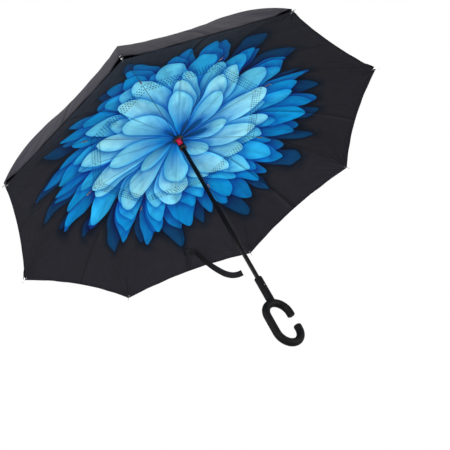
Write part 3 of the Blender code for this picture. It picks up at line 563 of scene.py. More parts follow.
# %% Lines for the trees
def line_mesh(lines):
    """Lines of points as a mesh of edges, which the trees can read."""
    mesh = bpy.data.meshes.new("lines")
    points, edges = [], []
    for line in lines:
        edges += [(len(points) + i, len(points) + i + 1) for i in range(len(line) - 1)]
        points += [tuple(p) for p in line]
    mesh.from_pydata(points, edges, [])
    return mesh


# %% [markdown]
# ## How the cloth hangs
# Between two ribs the cloth is pulled straight, so it is a ruled surface: each chord joins points that
# lie equally far along both ribs. Its height depends only on the radius of that chord. The line along a
# rib is read from the frame's plain skins and smoothed. On top of it comes what cloth really does: it
# sinks a little in mid-gore, its rim is drawn in to a scallop, and shallow slack waves run down to the
# rim. Each rib owns the cloth up to the middle of its two gores, so that the cloth can ride with it.

# %% The line along a rib
GORE = math.tau / RIB_COUNT
ON_RIB = 0.0002
SAME_PLACE = 0.00002
LINE_STEP = 0.0005
CORNER_ROUND = 0.006


def rib_line(node, lower):
    """The points (radius, height) of a skin's lower or upper side along the first rib."""
    found = sorted(
        (v.co.x, v.co.z) for v in frame["nodes"][node].data.vertices if abs(v.co.y) < ON_RIB and v.co.x > 0
    )
    line = []
    for x, z in found:
        if line and x - line[-1][0] < SAME_PLACE:
            line[-1][1] = min(line[-1][1], z) if lower else max(line[-1][1], z)
        else:
            line.append([x, z])
    return line


def distances(points):
    """How far along a line each of its points lies."""
    return np.concatenate(([0], np.cumsum(np.linalg.norm(np.diff(points, axis=0), axis=1))))


def cubic(points, at, fine):
    """Places on a smooth curve through points that lie at the distances at, read at fine distances."""
    slope = np.gradient(points, at, axis=0)
    index = np.clip(np.searchsorted(at, fine, side="right") - 1, 0, len(at) - 2)
    span = (at[index + 1] - at[index])[:, None]
    t = (fine - at[index])[:, None] / span
    near = (2 * t**3 - 3 * t**2 + 1) * points[index] + (t**3 - 2 * t**2 + t) * span * slope[index]
    far = (3 * t**2 - 2 * t**3) * points[index + 1] + (t**3 - t**2) * span * slope[index + 1]
    return near + far


def smoothed(points, turns):
    """A fine smooth line through the points; at those that are turns it bends within a small radius."""
    stops = [0, *turns, len(points) - 1]
    runs = []
    for first, last in zip(stops, stops[1:]):
        part = np.array(points[first : last + 1])
        at = distances(part)
        runs.append(cubic(part, at, np.arange(0, at[-1], LINE_STEP)))
    line = np.concatenate([*runs, np.array(points[-1:])])
    half = int(CORNER_ROUND / LINE_STEP)
    padded = np.pad(line, ((half, half), (0, 0)), mode="reflect", reflect_type="odd")
    window = np.ones(2 * half + 1) / (2 * half + 1)
    return np.stack([np.convolve(padded[:, i], window, "valid") for i in (0, 1)], axis=1)


# %% The surface between ribs
RIM_SAG = 0.016
WAVES = 2.5
CHORD_LOSS = 1 - math.cos(GORE)
CHORD_SIDE = math.sin(GORE)
CHORD_LEAN = math.tan(GORE / 2)
SKIN_HALF_THICKNESS = 0.0004
HEM_OVERHANG = 0.0005
HEM_GAP = 0.0015
DROP_START = 0.02
DROP_FULL = 0.1


def away_from_rib(share):
    """0 at a rib, where the rim is held, rising to 1 a little aside of it."""
    clear = np.clip((np.abs(share) - DROP_START) / (DROP_FULL - DROP_START), 0, 1)
    return clear * clear * (3 - 2 * clear)


class Canopy:
    """One layer of cloth, written in the upright plane of a rib: x outwards, y aside, z up."""

    def __init__(self, node, lower, turns, tight_radius, sag, wave, seed):
        line = smoothed(rib_line(node, lower), turns)
        self.radius = line[:, 0]
        self.height = line[:, 1] + (SKIN_HALF_THICKNESS if lower else -SKIN_HALF_THICKNESS)
        self.distance = distances(line) + self.radius[0]
        self.slope = np.gradient(self.height, self.radius)
        self.tight_radius = tight_radius
        self.sag = sag
        self.wave = wave
        self.under = None
        dice = random.Random(seed)
        self.phases = [[dice.random() for _ in range(2)] for _ in range(RIB_COUNT)]

    def reach(self, radius):
        """How far along the cloth a radius lies."""
        return np.interp(radius, self.radius, self.distance)

    def radius_at(self, distance):
        return np.interp(distance, self.distance, self.radius)

    def own_rim(self, share):
        aside = np.abs(share)
        return self.radius_at(self.distance[-1] - RIM_SAG * 4 * aside * (1 - aside))

    def rim(self, share):
        """The rim's radius at a share of the gore's width."""
        if not self.under:
            return self.own_rim(share)
        clear = away_from_rib(share)
        return self.own_rim(share) * (1 - clear) + (self.under.own_rim(share) + HEM_OVERHANG) * clear

    def rim_drop(self, share):
        """How far the rim hangs lower than this layer's own line, to meet the hem of the layer under it."""
        if not self.under:
            return 0.0
        lower = np.interp(self.under.own_rim(share), self.under.radius, self.under.height)
        return (np.interp(self.rim(share), self.radius, self.height) - lower - HEM_GAP) * away_from_rib(share)

    def place(self, radius, share, index, lift=0.0):
        """The cloth's points at radii along rib number index, at shares of the gore's width."""
        radius, share = np.broadcast_arrays(np.asarray(radius, float), np.asarray(share, float))
        aside = np.abs(share)
        x = radius * (1 - aside * CHORD_LOSS)
        y = radius * share * CHORD_SIDE
        z = np.interp(radius, self.radius, self.height)
        loose = np.clip((radius - self.tight_radius) / (self.rim(share) - self.tight_radius), 0, 1)
        z = z - self.sag * np.sin(math.pi * loose) * np.sin(math.pi * aside)
        left, right = self.phases[index]
        phase = np.where(share < 0, left, right)
        window = np.sin(math.tau * aside) ** 2
        z = z + self.wave * loose * window * np.sin(math.tau * (2 * WAVES * aside + phase))
        z = z - self.rim_drop(share) * loose**3
        slope = np.interp(radius, self.radius, self.slope)
        z = z + lift * np.sqrt(1 + slope**2)
        return np.stack([x, y, z], axis=-1)

    def flat_place(self, points):
        """Where points of the cloth lie on it when it is spread out flat, in metres."""
        x, y = points[:, 0], points[:, 1]
        radius = np.maximum(x + np.abs(y) * CHORD_LEAN, SAME_PLACE)
        stretch = self.reach(radius) / radius
        return np.stack([x * stretch, y * stretch], axis=-1)


inner = Canopy("inner_canopy", False, (1, 2, 4), tight_radius=0.283, sag=0.003, wave=0.0009, seed=11)
outer = Canopy("outer_canopy", True, (1,), tight_radius=0.06, sag=0.007, wave=0.0011, seed=12)
outer.under = inner
for name, canopy in (("printed", inner), ("outer", outer)):
    print(name, "cloth along a rib in mm:", round(canopy.distance[-1] * 1000))

# %% [markdown]
# ## The flower print
# The inner canopy carries one big blue flower round the shaft. It is built here as rings of petals, not
# as a picture. The cloth's UV map holds each point's place on the flat cloth in metres, so its angle
# and its distance from the middle are known anywhere. One ring cuts the circle into as many cells as it
# has petals. In each cell a petal is a width that narrows towards the tip, and the distance to its edge
# gives its outline, its darker rim and the shadow that it throws on the ring behind. Rings are laid
# from the darkest, outermost one to the palest, with a small dark one at the heart, and each petal draws
# its own length, lean and light from a hash of its number.

# %% Petal sizes and colours
FLOWER_RADIUS = 0.425
PETAL_EDGE = 0.0012
PETAL_RIM = 0.02
PETAL_SHADOW = 0.036
LEAN_OVER_LENGTH = 0.9
LENGTH_SPREAD = 0.17
ASIDE_SPREAD = 0.16
TIP_SHARPNESS = 0.66
FULLNESS = 2.4
TWIST_WANDER = 1 / 40
OPENING = 1.55
HEEL_LENGTH = 0.4
BLADE_BLEND = 0.36
STREAK_BLEND = 0.9
RIM_BLEND = 0.8
RIM_CHANCE = 0.5
BEND_LIGHT = 1.6
MIDRIB_WANDER = 0.3
MIDRIB_SHARPNESS = 12.0
MIDRIB_DEPTH = 0.14
PETAL_LIGHT = 0.92
STREAK_LIGHT = 0.2
CHANCE_LIGHT = 0.14
STREAKS_PER_TURN = 110.0
STREAK_STRETCH = 14.0
WEAVE_PITCH = 0.0009
WEAVE_DEPTH = 0.00003
CLOTH_BLACK = srgb(31, 30, 36)
SHADOW_TINT = srgb(0, 152, 212)
# petals, length, half width, lean, veil, then the colours of the heel, the blade and the rim
PETAL_RINGS = (
    (23, 1.0, 0.42, 0.15, 0.62, (6, 44, 75), (4, 72, 120), (4, 54, 94)),
    (22, 0.955, 0.45, 0.62, 1.0, (0, 66, 118), (0, 112, 175), (0, 92, 150)),
    (20, 0.915, 0.46, 0.3, 1.0, (0, 80, 139), (0, 126, 190), (0, 104, 165)),
    (18, 0.85, 0.47, 0.8, 1.0, (0, 94, 158), (3, 142, 203), (0, 116, 180)),
    (16, 0.78, 0.47, 0.45, 1.0, (0, 108, 177), (37, 164, 216), (0, 130, 195)),
    (13, 0.72, 0.46, 0.1, 1.0, (0, 116, 188), (97, 198, 227), (11, 146, 209)),
    (12, 0.635, 0.45, 0.55, 1.0, (0, 120, 192), (131, 212, 230), (48, 172, 219)),
    (10, 0.585, 0.44, 0.2, 1.0, (0, 122, 194), (150, 221, 233), (72, 184, 224)),
    (8, 0.4, 0.42, 0.7, 1.0, (0, 106, 182), (127, 210, 229), (37, 162, 216)),
    (11, 0.13, 0.32, 0.0, 1.0, (1, 22, 46), (0, 88, 154), (0, 44, 86)),
)
print("petals in all:", sum(ring[0] for ring in PETAL_RINGS))

# %% One ring of petals
def petal_ring(recipe, below, polar, ring, number):
    """Lays one ring of petals over the colour below it."""
    count, reach, half_width, lean, veil, heel, blade, rim = ring
    turn, distance, streaks, cloud, wander = polar
    twist = distance * (LEAN_OVER_LENGTH / FLOWER_RADIUS)
    along = turn * count + (lean + count) + twist + wander * (count * TWIST_WANDER)
    cell = recipe.math("FLOOR", along)
    which = recipe.math("FLOORED_MODULO", cell, float(count))
    seed = recipe.node("ShaderNodeCombineXYZ", None, {0: which, 1: float(number)})
    hashed = recipe.node("ShaderNodeTexWhiteNoise", {"noise_dimensions": "2D"}, {"Vector": seed}, "Color")
    first, second, third = recipe.node("ShaderNodeSeparateColor", None, {0: hashed}, None).values()
    aside = along - cell - 0.5 + (first - 0.5) * ASIDE_SPREAD
    length = (second * LENGTH_SPREAD + (reach - LENGTH_SPREAD / 2)) * FLOWER_RADIUS
    share = distance / length
    narrowing = 1 - share ** (third * FULLNESS + FULLNESS)
    half = recipe.math("MAXIMUM", narrowing, 0.0) ** TIP_SHARPNESS * half_width
    outside = recipe.math("ABSOLUTE", aside)
    edge = recipe.math("MINIMUM", (half - outside) * distance * (math.tau / count), length - distance)
    mask = recipe.math("MULTIPLY_ADD", edge, 1 / PETAL_EDGE, 0.5, clamp=True) * veil
    shade = recipe.math("MULTIPLY_ADD", edge, 1 / PETAL_SHADOW, 1.0, clamp=True)
    below = recipe.tinted(shade * shade, below, SHADOW_TINT)
    opened = recipe.math("MULTIPLY_ADD", share, OPENING, -HEEL_LENGTH, clamp=True)
    colour = recipe.mix(opened * (BLADE_BLEND + streaks * STREAK_BLEND), srgb(*heel), srgb(*blade))
    near_rim = recipe.math("MULTIPLY_ADD", edge, -1 / PETAL_RIM, 1.0, clamp=True)
    colour = recipe.mix(near_rim * near_rim * (RIM_BLEND - third * RIM_CHANCE), colour, srgb(*rim))
    bend = aside * (third - 0.5) * BEND_LIGHT
    off_line = aside + (first - 0.5) * MIDRIB_WANDER + (cloud - 0.5) * MIDRIB_WANDER
    fold = recipe.math("MULTIPLY_ADD", recipe.math("ABSOLUTE", off_line), -MIDRIB_SHARPNESS, 1.0, clamp=True)
    level = PETAL_LIGHT + bend + streaks * STREAK_LIGHT - fold * MIDRIB_DEPTH + (second - 0.5) * CHANCE_LIGHT
    return recipe.mix(mask, below, recipe.dimmed(colour, level))


# %% Printed cloth
def printed_cloth_finish():
    recipe = Recipe("printed_cloth", Specular_IOR_Level=0.08)
    uv = recipe.uv()
    turn, distance = recipe.polar()
    places = {0: turn * STREAKS_PER_TURN, 1: distance * STREAK_STRETCH}
    fan = recipe.node("ShaderNodeCombineXYZ", None, places)
    streaks = recipe.noise(fan, scale=1.0, detail=3.0, dimensions="2D")
    cloud = recipe.noise(uv, scale=26.0, detail=3.0, dimensions="2D")
    colour = recipe.dimmed(CLOTH_BLACK[:3], 0.86 + cloud * 0.28)
    wander = recipe.noise(uv, scale=8.0, detail=1.0, dimensions="2D") - 0.5
    polar = (turn, distance, streaks * 0.45 + cloud * 0.55, cloud, wander)
    for number, ring in enumerate(PETAL_RINGS):
        colour = petal_ring(recipe, colour, polar, ring, number)
    creases = recipe.creases(turn, distance, float(inner.distance[-1]))
    height = creases + recipe.weave(WEAVE_PITCH) * WEAVE_DEPTH
    return recipe.finish(colour, roughness=0.62 + cloud * 0.12, height=height, depth=1.0, strength=1.0)


printed_cloth = printed_cloth_finish()
print("nodes in the print:", len(printed_cloth.node_tree.nodes))

# %% [markdown]
# ## Plain cloth, hems, thread and ribbon
# The outer cloth is the same black pongee: a fine plain weave, slightly blue-grey where light grazes
# it. The hem is that cloth folded twice, so it is denser; its colour is also darker than the cloth, which
# is painted shade that hides the light its folded edge catches. Thread is a row of twisted stitches; the
# ribbon is a narrow woven tape with ribs across it.

# %% Soft finishes
RIBBON_RIB = 0.0011
HEM_WEAVE_PITCH = 0.0008


def plain_cloth_finish(name, dark, light, pitch):
    recipe = Recipe(name, Specular_IOR_Level=0.05)
    uv = recipe.uv()
    turn, distance = recipe.polar()
    cloud = recipe.noise(uv, scale=18.0, detail=4.0, dimensions="2D")
    yarn = recipe.noise(recipe.stretched(uv, (1.0, 0.08, 1.0)), scale=420.0, dimensions="2D")
    colour = recipe.mix(cloud * 0.6 + yarn * 0.4, srgb(*dark), srgb(*light))
    creases = recipe.creases(turn, distance, float(outer.distance[-1]))
    height = creases + recipe.weave(pitch) * WEAVE_DEPTH
    return recipe.finish(colour, roughness=0.58 + cloud * 0.14, height=height, depth=1.0, strength=1.0)


def thread_finish(name, dark, light):
    recipe = Recipe(name, Specular_IOR_Level=0.2)
    twist = recipe.noise(recipe.place(), scale=1700.0, detail=2.0)
    colour = recipe.mix(twist, srgb(*dark), srgb(*light))
    return recipe.finish(colour, roughness=0.7 + twist * 0.2, height=twist, depth=0.0001)


def ribbon_finish():
    recipe = Recipe("ribbon_weave", Specular_IOR_Level=0.1)
    along = recipe.split(recipe.uv())[1]
    ribs = recipe.math("SINE", along * (math.tau / RIBBON_RIB)) * 0.5 + 0.5
    cloud = recipe.noise(recipe.uv(), scale=260.0, detail=3.0, dimensions="2D")
    colour = recipe.mix(cloud, srgb(13, 13, 15), srgb(26, 26, 29))
    return recipe.finish(colour, roughness=0.52 + cloud * 0.14, height=ribs, depth=0.00025)


black_cloth = plain_cloth_finish("black_cloth", (34, 33, 40), (46, 45, 54), WEAVE_PITCH)
# hem_cloth is darker than black_cloth: painted shade over the light that the hem's folded edge catches; the
# joint tabs wear it too
hem_cloth = plain_cloth_finish("hem_cloth", (22, 21, 26), (36, 35, 41), HEM_WEAVE_PITCH)
# the seam thread; the welts along the ribs take it too, and there its dark colour is painted shade of the
# seam's furrow as well as thread
dark_thread = thread_finish("dark_thread", (14, 15, 20), (38, 40, 48))
grey_thread = thread_finish("grey_thread", (26, 32, 46), (52, 60, 78))
white_thread = thread_finish("white_thread", (196, 196, 200), (232, 232, 234))
ribbon = ribbon_finish()
soft_finishes = (black_cloth, hem_cloth, dark_thread, grey_thread, white_thread, ribbon)
print("soft finishes:", [made.name for made in soft_finishes])

# %% [markdown]
# ## Gores as meshes
# A gore piece is a grid of points between two edges. Its columns run from rib to mid-gore like the
# threads of the cloth, and they are the same for every piece, so that neighbours meet point for point.

# %% Rows and columns
BAND_COLUMNS = 11
SEAM_SHARE = 0.015
EDGE_ROW = 0.002
half_shares = [SEAM_SHARE + (0.5 - SEAM_SHARE) * i / BAND_COLUMNS for i in range(BAND_COLUMNS + 1)]
SHARES = np.array([*[-s for s in reversed(half_shares)], 0.0, *half_shares])
print("columns in a gore piece:", len(SHARES))


def across_line(x):
    """The radii at which a straight line across the rib, x from the shaft, cuts each column."""
    return x / (1 - np.abs(SHARES) * CHORD_LOSS)


def rows_between(canopy, index, start, end, steps, shares=SHARES, lift=0.0):
    """Rows of points from one edge to the other, both given as radii for each column."""
    start, end = np.broadcast_arrays(np.asarray(start, float), np.asarray(end, float), shares)[:2]
    low, high = canopy.reach(start), canopy.reach(end)
    parts = [EDGE_ROW, *[i / steps for i in range(1, steps)], 1 - EDGE_ROW]
    levels = [start, *[canopy.radius_at(low + (high - low) * part) for part in parts], end]
    return np.array([canopy.place(level, shares, index, lift) for level in levels])


# %% Grids and lofts
def add_grid(bm, rows):
    """Adds a grid of points and its faces to a mesh."""
    verts = [[bm.verts.new(point) for point in row] for row in rows]
    for row, after in zip(verts, verts[1:]):
        for i in range(len(row) - 1):
            bm.faces.new((row[i], row[i + 1], after[i + 1], after[i]))


def add_loft(bm, rings):
    """Adds a closed skin over rings of points, with both ends filled."""
    verts = [[bm.verts.new(point) for point in ring] for ring in rings]
    for ring, after in zip(verts, verts[1:]):
        for i in range(len(ring)):
            j = (i + 1) % len(ring)
            bm.faces.new((ring[i], ring[j], after[j], after[i]))
    bm.faces.new(verts[0][::-1])
    bm.faces.new(verts[-1])


def mesh_of(bm, merge=0.0):
    if merge:
        bmesh.ops.remove_doubles(bm, verts=bm.verts[:], dist=merge)
    bmesh.ops.recalc_face_normals(bm, faces=bm.faces[:])
    return written(bm, "part")


# %% Finished pieces and their maps
CLOTH_THICKNESS = 0.0004


def joined(name, parts):
    """One object of several meshes, with a slot for each finish and smooth shading."""
    bm = bmesh.new()
    finishes = []
    for mesh, finish in parts:
        if finish not in finishes:
            finishes.append(finish)
        before = len(bm.faces)
        bm.from_mesh(mesh)
        bm.faces.ensure_lookup_table()
        for face in bm.faces[before:]:
            face.material_index = finishes.index(finish)
            face.smooth = True
    made = add_object(name, written(bm, name))
    for finish in finishes:
        made.data.materials.append(finish)
    return made


def spread_map(made, canopy, azimuth):
    """Writes each point's place on the flat cloth as the piece's UV map."""
    mesh = made.data
    points = np.empty(len(mesh.vertices) * 3)
    mesh.vertices.foreach_get("co", points)
    turn = np.array([[math.cos(azimuth), math.sin(azimuth)], [-math.sin(azimuth), math.cos(azimuth)]])
    flat = canopy.flat_place(points.reshape(-1, 3)) @ turn
    corners = np.empty(len(mesh.loops), int)
    mesh.loops.foreach_get("vertex_index", corners)
    layer = mesh.uv_layers.new(name="flat_cloth")
    layer.uv.foreach_set("vector", flat[corners].ravel())


def on_rib(made, canopy, index, body=None):
    """Turns a piece into its rib's plane, and makes it ride with the rib when a body is given."""
    azimuth = GORE * index
    spread_map(made, canopy, azimuth)
    made.data.transform(Matrix.Rotation(azimuth, 4, "Z"))
    if body:
        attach(made, body)
        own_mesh(made)


def thickened(made, thickness):
    """Gives a flat piece its thickness, half of it to each side."""
    solid = made.modifiers.new("thickness", "SOLIDIFY")
    solid.thickness = thickness
    solid.offset = 0.0


def cloth_area(mesh):
    """The area of a sheet that has no thickness yet."""
    return sum(face.area for face in mesh.polygons)


def sheet_of(made, area, width, length):
    thickened(made, CLOTH_THICKNESS)
    area = min(area, width * length)


# %% [markdown]
# ## Rows of small holes
# Rows of small holes follow each chord of the octagon just inside the ribs' joints, and let the wind
# through. One tile of cloth with an eight-sided hole is repeated over a grid, and every second row is
# turned half round, which staggers the holes. The flat band is then bent onto the cloth. A hole must
# stay round there, so its points move by real distances from its middle, and only the tile's corners
# follow the cloth's slanting columns.

# %% Hole band
BAND_ROWS = 4
BAND_INNER = 0.2425
BAND_OUTER = 0.2745
HOLE_RADIUS = 0.002
HOLE_SIDES = 8
HOLE_REACH = 1.05
NUDGE = 0.001
TILE_PITCH = 0.0088
TILE_HEIGHT = (BAND_OUTER - BAND_INNER) * math.cos(GORE / 2) / BAND_ROWS


def hole_tile():
    """A tile of cloth: its left half has the hole, and its right half is whole."""
    bm = bmesh.new()
    x, y = TILE_PITCH / 2, TILE_HEIGHT / 2
    corners = [bm.verts.new((a, b, 0)) for a, b in ((x, y), (-x, y), (-x, -y), (x, -y))]
    ring = []
    for i in range(HOLE_SIDES):
        angle = math.tau * i / HOLE_SIDES
        ring.append(bm.verts.new((-x / 2 + HOLE_RADIUS * math.cos(angle), HOLE_RADIUS * math.sin(angle), 0)))
    for side in range(4):
        first = 2 * side + 1
        hole = [ring[(first + step) % HOLE_SIDES] for step in (2, 1, 0)]
        bm.faces.new((corners[side], corners[(side + 1) % 4], *hole))
    return add_object("tile", written(bm, "tile"))


tile = hole_tile()
band = hole_band_tree(tile).run(
    bpy.data.meshes.new("empty"),
    **{"Columns": BAND_COLUMNS, "Rows": BAND_ROWS, "Pitch": TILE_PITCH, "Row Height": TILE_HEIGHT},
    Finish=printed_cloth,
)
bpy.data.objects.remove(tile)
band_points = np.empty(len(band.vertices) * 3)
band.vertices.foreach_get("co", band_points)
band_points = band_points.reshape(-1, 3)
print("band:", len(band.vertices), "points,", BAND_COLUMNS * BAND_ROWS, "holes in each half gore")


def bent_band(index, side):
    """The points of the hole band, laid on one side of a rib."""
    column = np.clip(band_points[:, 0] / TILE_PITCH + BAND_COLUMNS / 2, 0, BAND_COLUMNS)
    row = np.clip(band_points[:, 1] / TILE_HEIGHT + BAND_ROWS / 2, 0, BAND_ROWS)
    which_row = np.minimum(np.floor(row + NUDGE), BAND_ROWS - 1)
    which_column = np.minimum(np.floor(column + NUDGE), BAND_COLUMNS - 1)
    hole_column = which_column + 0.5 - 0.25 * np.where(which_row % 2 == 0, 1, -1)
    dx = (column - hole_column) * TILE_PITCH
    dy = (row - which_row - 0.5) * TILE_HEIGHT
    in_hole = np.hypot(dx, dy) < HOLE_RADIUS * HOLE_REACH

    def on_cloth(row, column):
        radius = BAND_INNER + (BAND_OUTER - BAND_INNER) * row / BAND_ROWS
        share = 0.5 - (0.5 - SEAM_SHARE) * column / BAND_COLUMNS
        return inner.place(radius, side * share, index)

    corner = on_cloth(row, column)
    middle = on_cloth(which_row + 0.5, hole_column)
    half = GORE / 2
    outwards = np.array([math.cos(half), side * math.sin(half)])
    to_rib = np.array([math.sin(half), -side * math.cos(half)])
    flat = middle[:, :2] + dy[:, None] * outwards + dx[:, None] * to_rib
    radius = flat[:, 0] + np.abs(flat[:, 1]) * CHORD_LEAN
    round_hole = inner.place(radius, flat[:, 1] / (radius * CHORD_SIDE), index)
    return np.where(in_hole[:, None], round_hole, corner)


def add_band(bm, index, side):
    verts = [bm.verts.new(p) for p in bent_band(index, side)]
    for polygon in band.polygons:
        corners = [verts[i] for i in polygon.vertices]
        bm.faces.new(corners if side > 0 else corners[::-1])


# %% [markdown]
# ## The printed canopy
# Three pieces a rib make the printed canopy. The throat is clamped under the hub and rides no body.
# The middle piece rides on the steel channel and ends on the line through the rib's joint. The outer
# piece rides on the glass-fibre rod, and a flap of it lies hidden behind the middle piece, so that no
# gap opens when the umbrella closes. Closing draws the ribs together.

# %% Inner canopy
THROAT_END = 0.034
THROAT_STEPS = 8
MIDDLE_STEPS = 26
LIP_STEPS = 4
OUTER_STEPS = 40
FLAP_AT_RIB = 0.003
FLAP_SLOPE = 0.018
FLAP_LIFT = 0.00045
FLAP_RAMP = 0.002
ROD_HINGE = 0.275
MERGE = 0.000002


def cloth_mesh(canopy, index, start, end, steps):
    """A plain piece of cloth between two edges."""
    bm = bmesh.new()
    add_grid(bm, rows_between(canopy, index, start, end, steps))
    return mesh_of(bm, MERGE)


def inner_middle(index):
    """The middle piece: cloth on both sides of the band of holes."""
    bm = bmesh.new()
    add_grid(bm, rows_between(inner, index, across_line(THROAT_END), BAND_INNER, MIDDLE_STEPS))
    add_grid(bm, rows_between(inner, index, BAND_OUTER, across_line(ROD_HINGE), LIP_STEPS))
    beside_rib = np.array([-SEAM_SHARE, 0.0, SEAM_SHARE])
    levels = [BAND_INNER + (BAND_OUTER - BAND_INNER) * i / BAND_ROWS for i in range(BAND_ROWS + 1)]
    add_grid(bm, [inner.place(level, beside_rib, index) for level in levels])
    for side in (-1, 1):
        add_band(bm, index, side)
    return mesh_of(bm, MERGE)


def inner_border(index):
    """The outer piece and its hidden flap."""
    bm = bmesh.new()
    joint = across_line(ROD_HINGE)
    flap = joint - FLAP_AT_RIB - FLAP_SLOPE * np.abs(SHARES)
    levels = (flap, (flap + joint) / 2, joint - FLAP_RAMP)
    hidden = [inner.place(level, SHARES, index, FLAP_LIFT) for level in levels]
    add_grid(bm, [*hidden, *rows_between(inner, index, joint, inner.rim(SHARES), OUTER_STEPS)])
    return mesh_of(bm)


# %% [markdown]
# ## Hems, seams and stitches
# A hem is the rim folded over itself, so it stands a little proud on both sides and has one row of
# stitches. Along each rib two gores are sewn together, which leaves a narrow welt. The welt takes the
# dark thread's colour, which paints the shade of the seam's furrow along with its thread. Just beyond
# each rib joint a short tab ties the printed cloth to the rib with a few white stitches, and more white
# thread holds the cloth at each tip.

# %% Hems and welts
HEM_WIDTH = 0.007
HEM_HALF_THICKNESS = 0.00065
HEM_POINTS = 10
HEM_OVERLAP = 0.0003
HEM_SHIFT = 0.0001
WELT_HALF_WIDTH = 0.0007
WELT_DEPTH = 0.0005
WELT_POINTS = 8
WELT_STEP = 0.006


def hem_mesh(canopy, index, face):
    """The folded rim; face is -1 or 1, the side on which it shows most."""
    bm = bmesh.new()
    rim = canopy.rim(SHARES)
    turns = [math.tau * i / HEM_POINTS for i in range(HEM_POINTS)]
    sections = []
    for angle in turns:
        level = rim - HEM_WIDTH / 2 + (HEM_WIDTH / 2 + HEM_OVERLAP) * math.cos(angle)
        lift = HEM_HALF_THICKNESS * math.sin(angle) + face * HEM_SHIFT
        sections.append(canopy.place(level, SHARES, index, lift))
    add_loft(bm, np.array(sections).transpose(1, 0, 2))
    return mesh_of(bm)


def welt_mesh(canopy, index, start, end, face):
    """The sewn edge along a rib, a narrow half-round bead on the cloth's shown side."""
    bm = bmesh.new()
    levels = np.linspace(start, end, max(int((end - start) / WELT_STEP), 2))
    rings = []
    for level in levels:
        ring = []
        for i in range(WELT_POINTS):
            angle = math.tau * i / WELT_POINTS
            share = WELT_HALF_WIDTH * math.cos(angle) / (level * CHORD_SIDE)
            lift = face * (CLOTH_THICKNESS / 2 + WELT_DEPTH / 2 * math.sin(angle))
            ring.append(canopy.place(level, share, index, lift))
        rings.append(ring)
    add_loft(bm, rings)
    return mesh_of(bm)


# %% Stitches
HEM_STITCH = {"Spacing": 0.0032, "Length": 0.0024, "Thickness": 0.0006}
SEAM_STITCH = {"Spacing": 0.003, "Length": 0.0022, "Thickness": 0.00055}
TIE_STITCH = {"Spacing": 0.0024, "Length": 0.0022, "Thickness": 0.0008}
TIP_STITCH_LIFT = 0.0009
TIP_STITCH_HALF_WIDTH = 0.0014
HEM_STITCH_INSET = 0.0012
HEM_STITCH_HEIGHT = 0.82
SEAM_POINTS = 60


def sewn(lines, finish, kind):
    """Stitches along lines, with their finish."""
    return stitches.run(line_mesh(lines), Finish=finish, **kind), finish


def stitch_line(canopy, index, start, end, aside, lift, points=24):
    """A line on the cloth beside a rib, aside in metres."""
    levels = np.linspace(start, end, points)
    return canopy.place(levels, aside / (levels * CHORD_SIDE), index, lift)


def hem_stitches(canopy, index):
    level = canopy.rim(SHARES) - HEM_WIDTH + HEM_STITCH_INSET
    lift = HEM_HALF_THICKNESS * HEM_STITCH_HEIGHT
    lines = [canopy.place(level, SHARES, index, face * lift) for face in (-1, 1)]
    return sewn(lines, grey_thread, HEM_STITCH)


def seam_stitches(canopy, index, start, end, face):
    lift = face * (CLOTH_THICKNESS / 2 + WELT_DEPTH / 2)
    line = stitch_line(canopy, index, start, end, 0.0, lift, SEAM_POINTS)
    return sewn([line], dark_thread, SEAM_STITCH)


def tie_stitches(canopy, index, start, end, lift, half_width):
    lines = [stitch_line(canopy, index, start, end, aside, lift) for aside in (-half_width, half_width)]
    return sewn(lines, white_thread, TIE_STITCH)


# %% Joint tabs
TAB_START = 0.283
TAB_LENGTH = 0.017
TAB_HALF_WIDTH = 0.0022
TAB_THICKNESS = 0.0006
TAB_STITCH_LIFT = 0.0011
TAB_ROWS = 6
TAB_SUNK = 0.0001
TAB_GAP = 0.0003


def tab_mesh(index):
    """The short tab beyond a rib's joint, sewn on the printed side."""
    bm = bmesh.new()
    rings = []
    for level in np.linspace(TAB_START, TAB_START + TAB_LENGTH, TAB_ROWS):
        share = TAB_HALF_WIDTH / (level * CHORD_SIDE)
        low = -CLOTH_THICKNESS / 2 - TAB_THICKNESS - TAB_GAP
        corners = ((-share, -TAB_SUNK), (share, -TAB_SUNK), (share, low), (-share, low))
        rings.append([inner.place(level, s, index, lift) for s, lift in corners])
    add_loft(bm, rings)
    return mesh_of(bm)


# %% Sewing
THROAT_TURN = 0.028
THROAT_EASE = 1.1
SEAM_CLEAR = 0.002
SEAM_INSET = 0.001
SLACK_ALLOWANCE = 0.002
FLAP_ALLOWANCE = 0.01


def width_at(radius):
    """A piece's width there, from mid-gore to mid-gore."""
    return 2 * radius * math.tan(GORE / 2)


def sew_throat(name, canopy, index, finish, body, edge):
    """The piece that is clamped at the shaft; it rides no body."""
    number = index + 1
    mesh = cloth_mesh(canopy, index, canopy.radius[0], across_line(THROAT_END), THROAT_STEPS)
    throat = joined(f"{name}_{number}", [(mesh, finish)])
    on_rib(throat, canopy, index)
    joints = frame["record"]["behaviour"]["joints"]
    height = next(joint["pos_m"][2] for joint in joints if joint["name"] == f"{body}_hinge_{number}")
    heading = (math.cos(GORE * index), math.sin(GORE * index))
    start, end = ((heading[0] * way, heading[1] * way, height) for way in (edge, THROAT_TURN))
    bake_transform(throat)
    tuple(start)
    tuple(end)
    sheet_of(throat, cloth_area(mesh), width_at(THROAT_END) * THROAT_EASE, THROAT_END)
    return [throat]


def sew(name, trim_name, canopy, index, mesh, finish, trims, body, width, length):
    """One piece of cloth with its trim. Both ride a body."""
    number = index + 1
    made = joined(f"{name}_{number}", [(mesh, finish)])
    trim = joined(f"{name}_{trim_name}_{number}", trims)
    for piece in (made, trim):
        on_rib(piece, canopy, index, f"{body}_{number}")
    sheet_of(made, cloth_area(mesh), width, length)
    return [made, trim]


def show_instead(pieces, node):
    """Shows the pieces in place of a skin of the frame."""
    for piece in pieces:
        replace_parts(piece, node)
    print(node, "is now", len(pieces), "pieces")


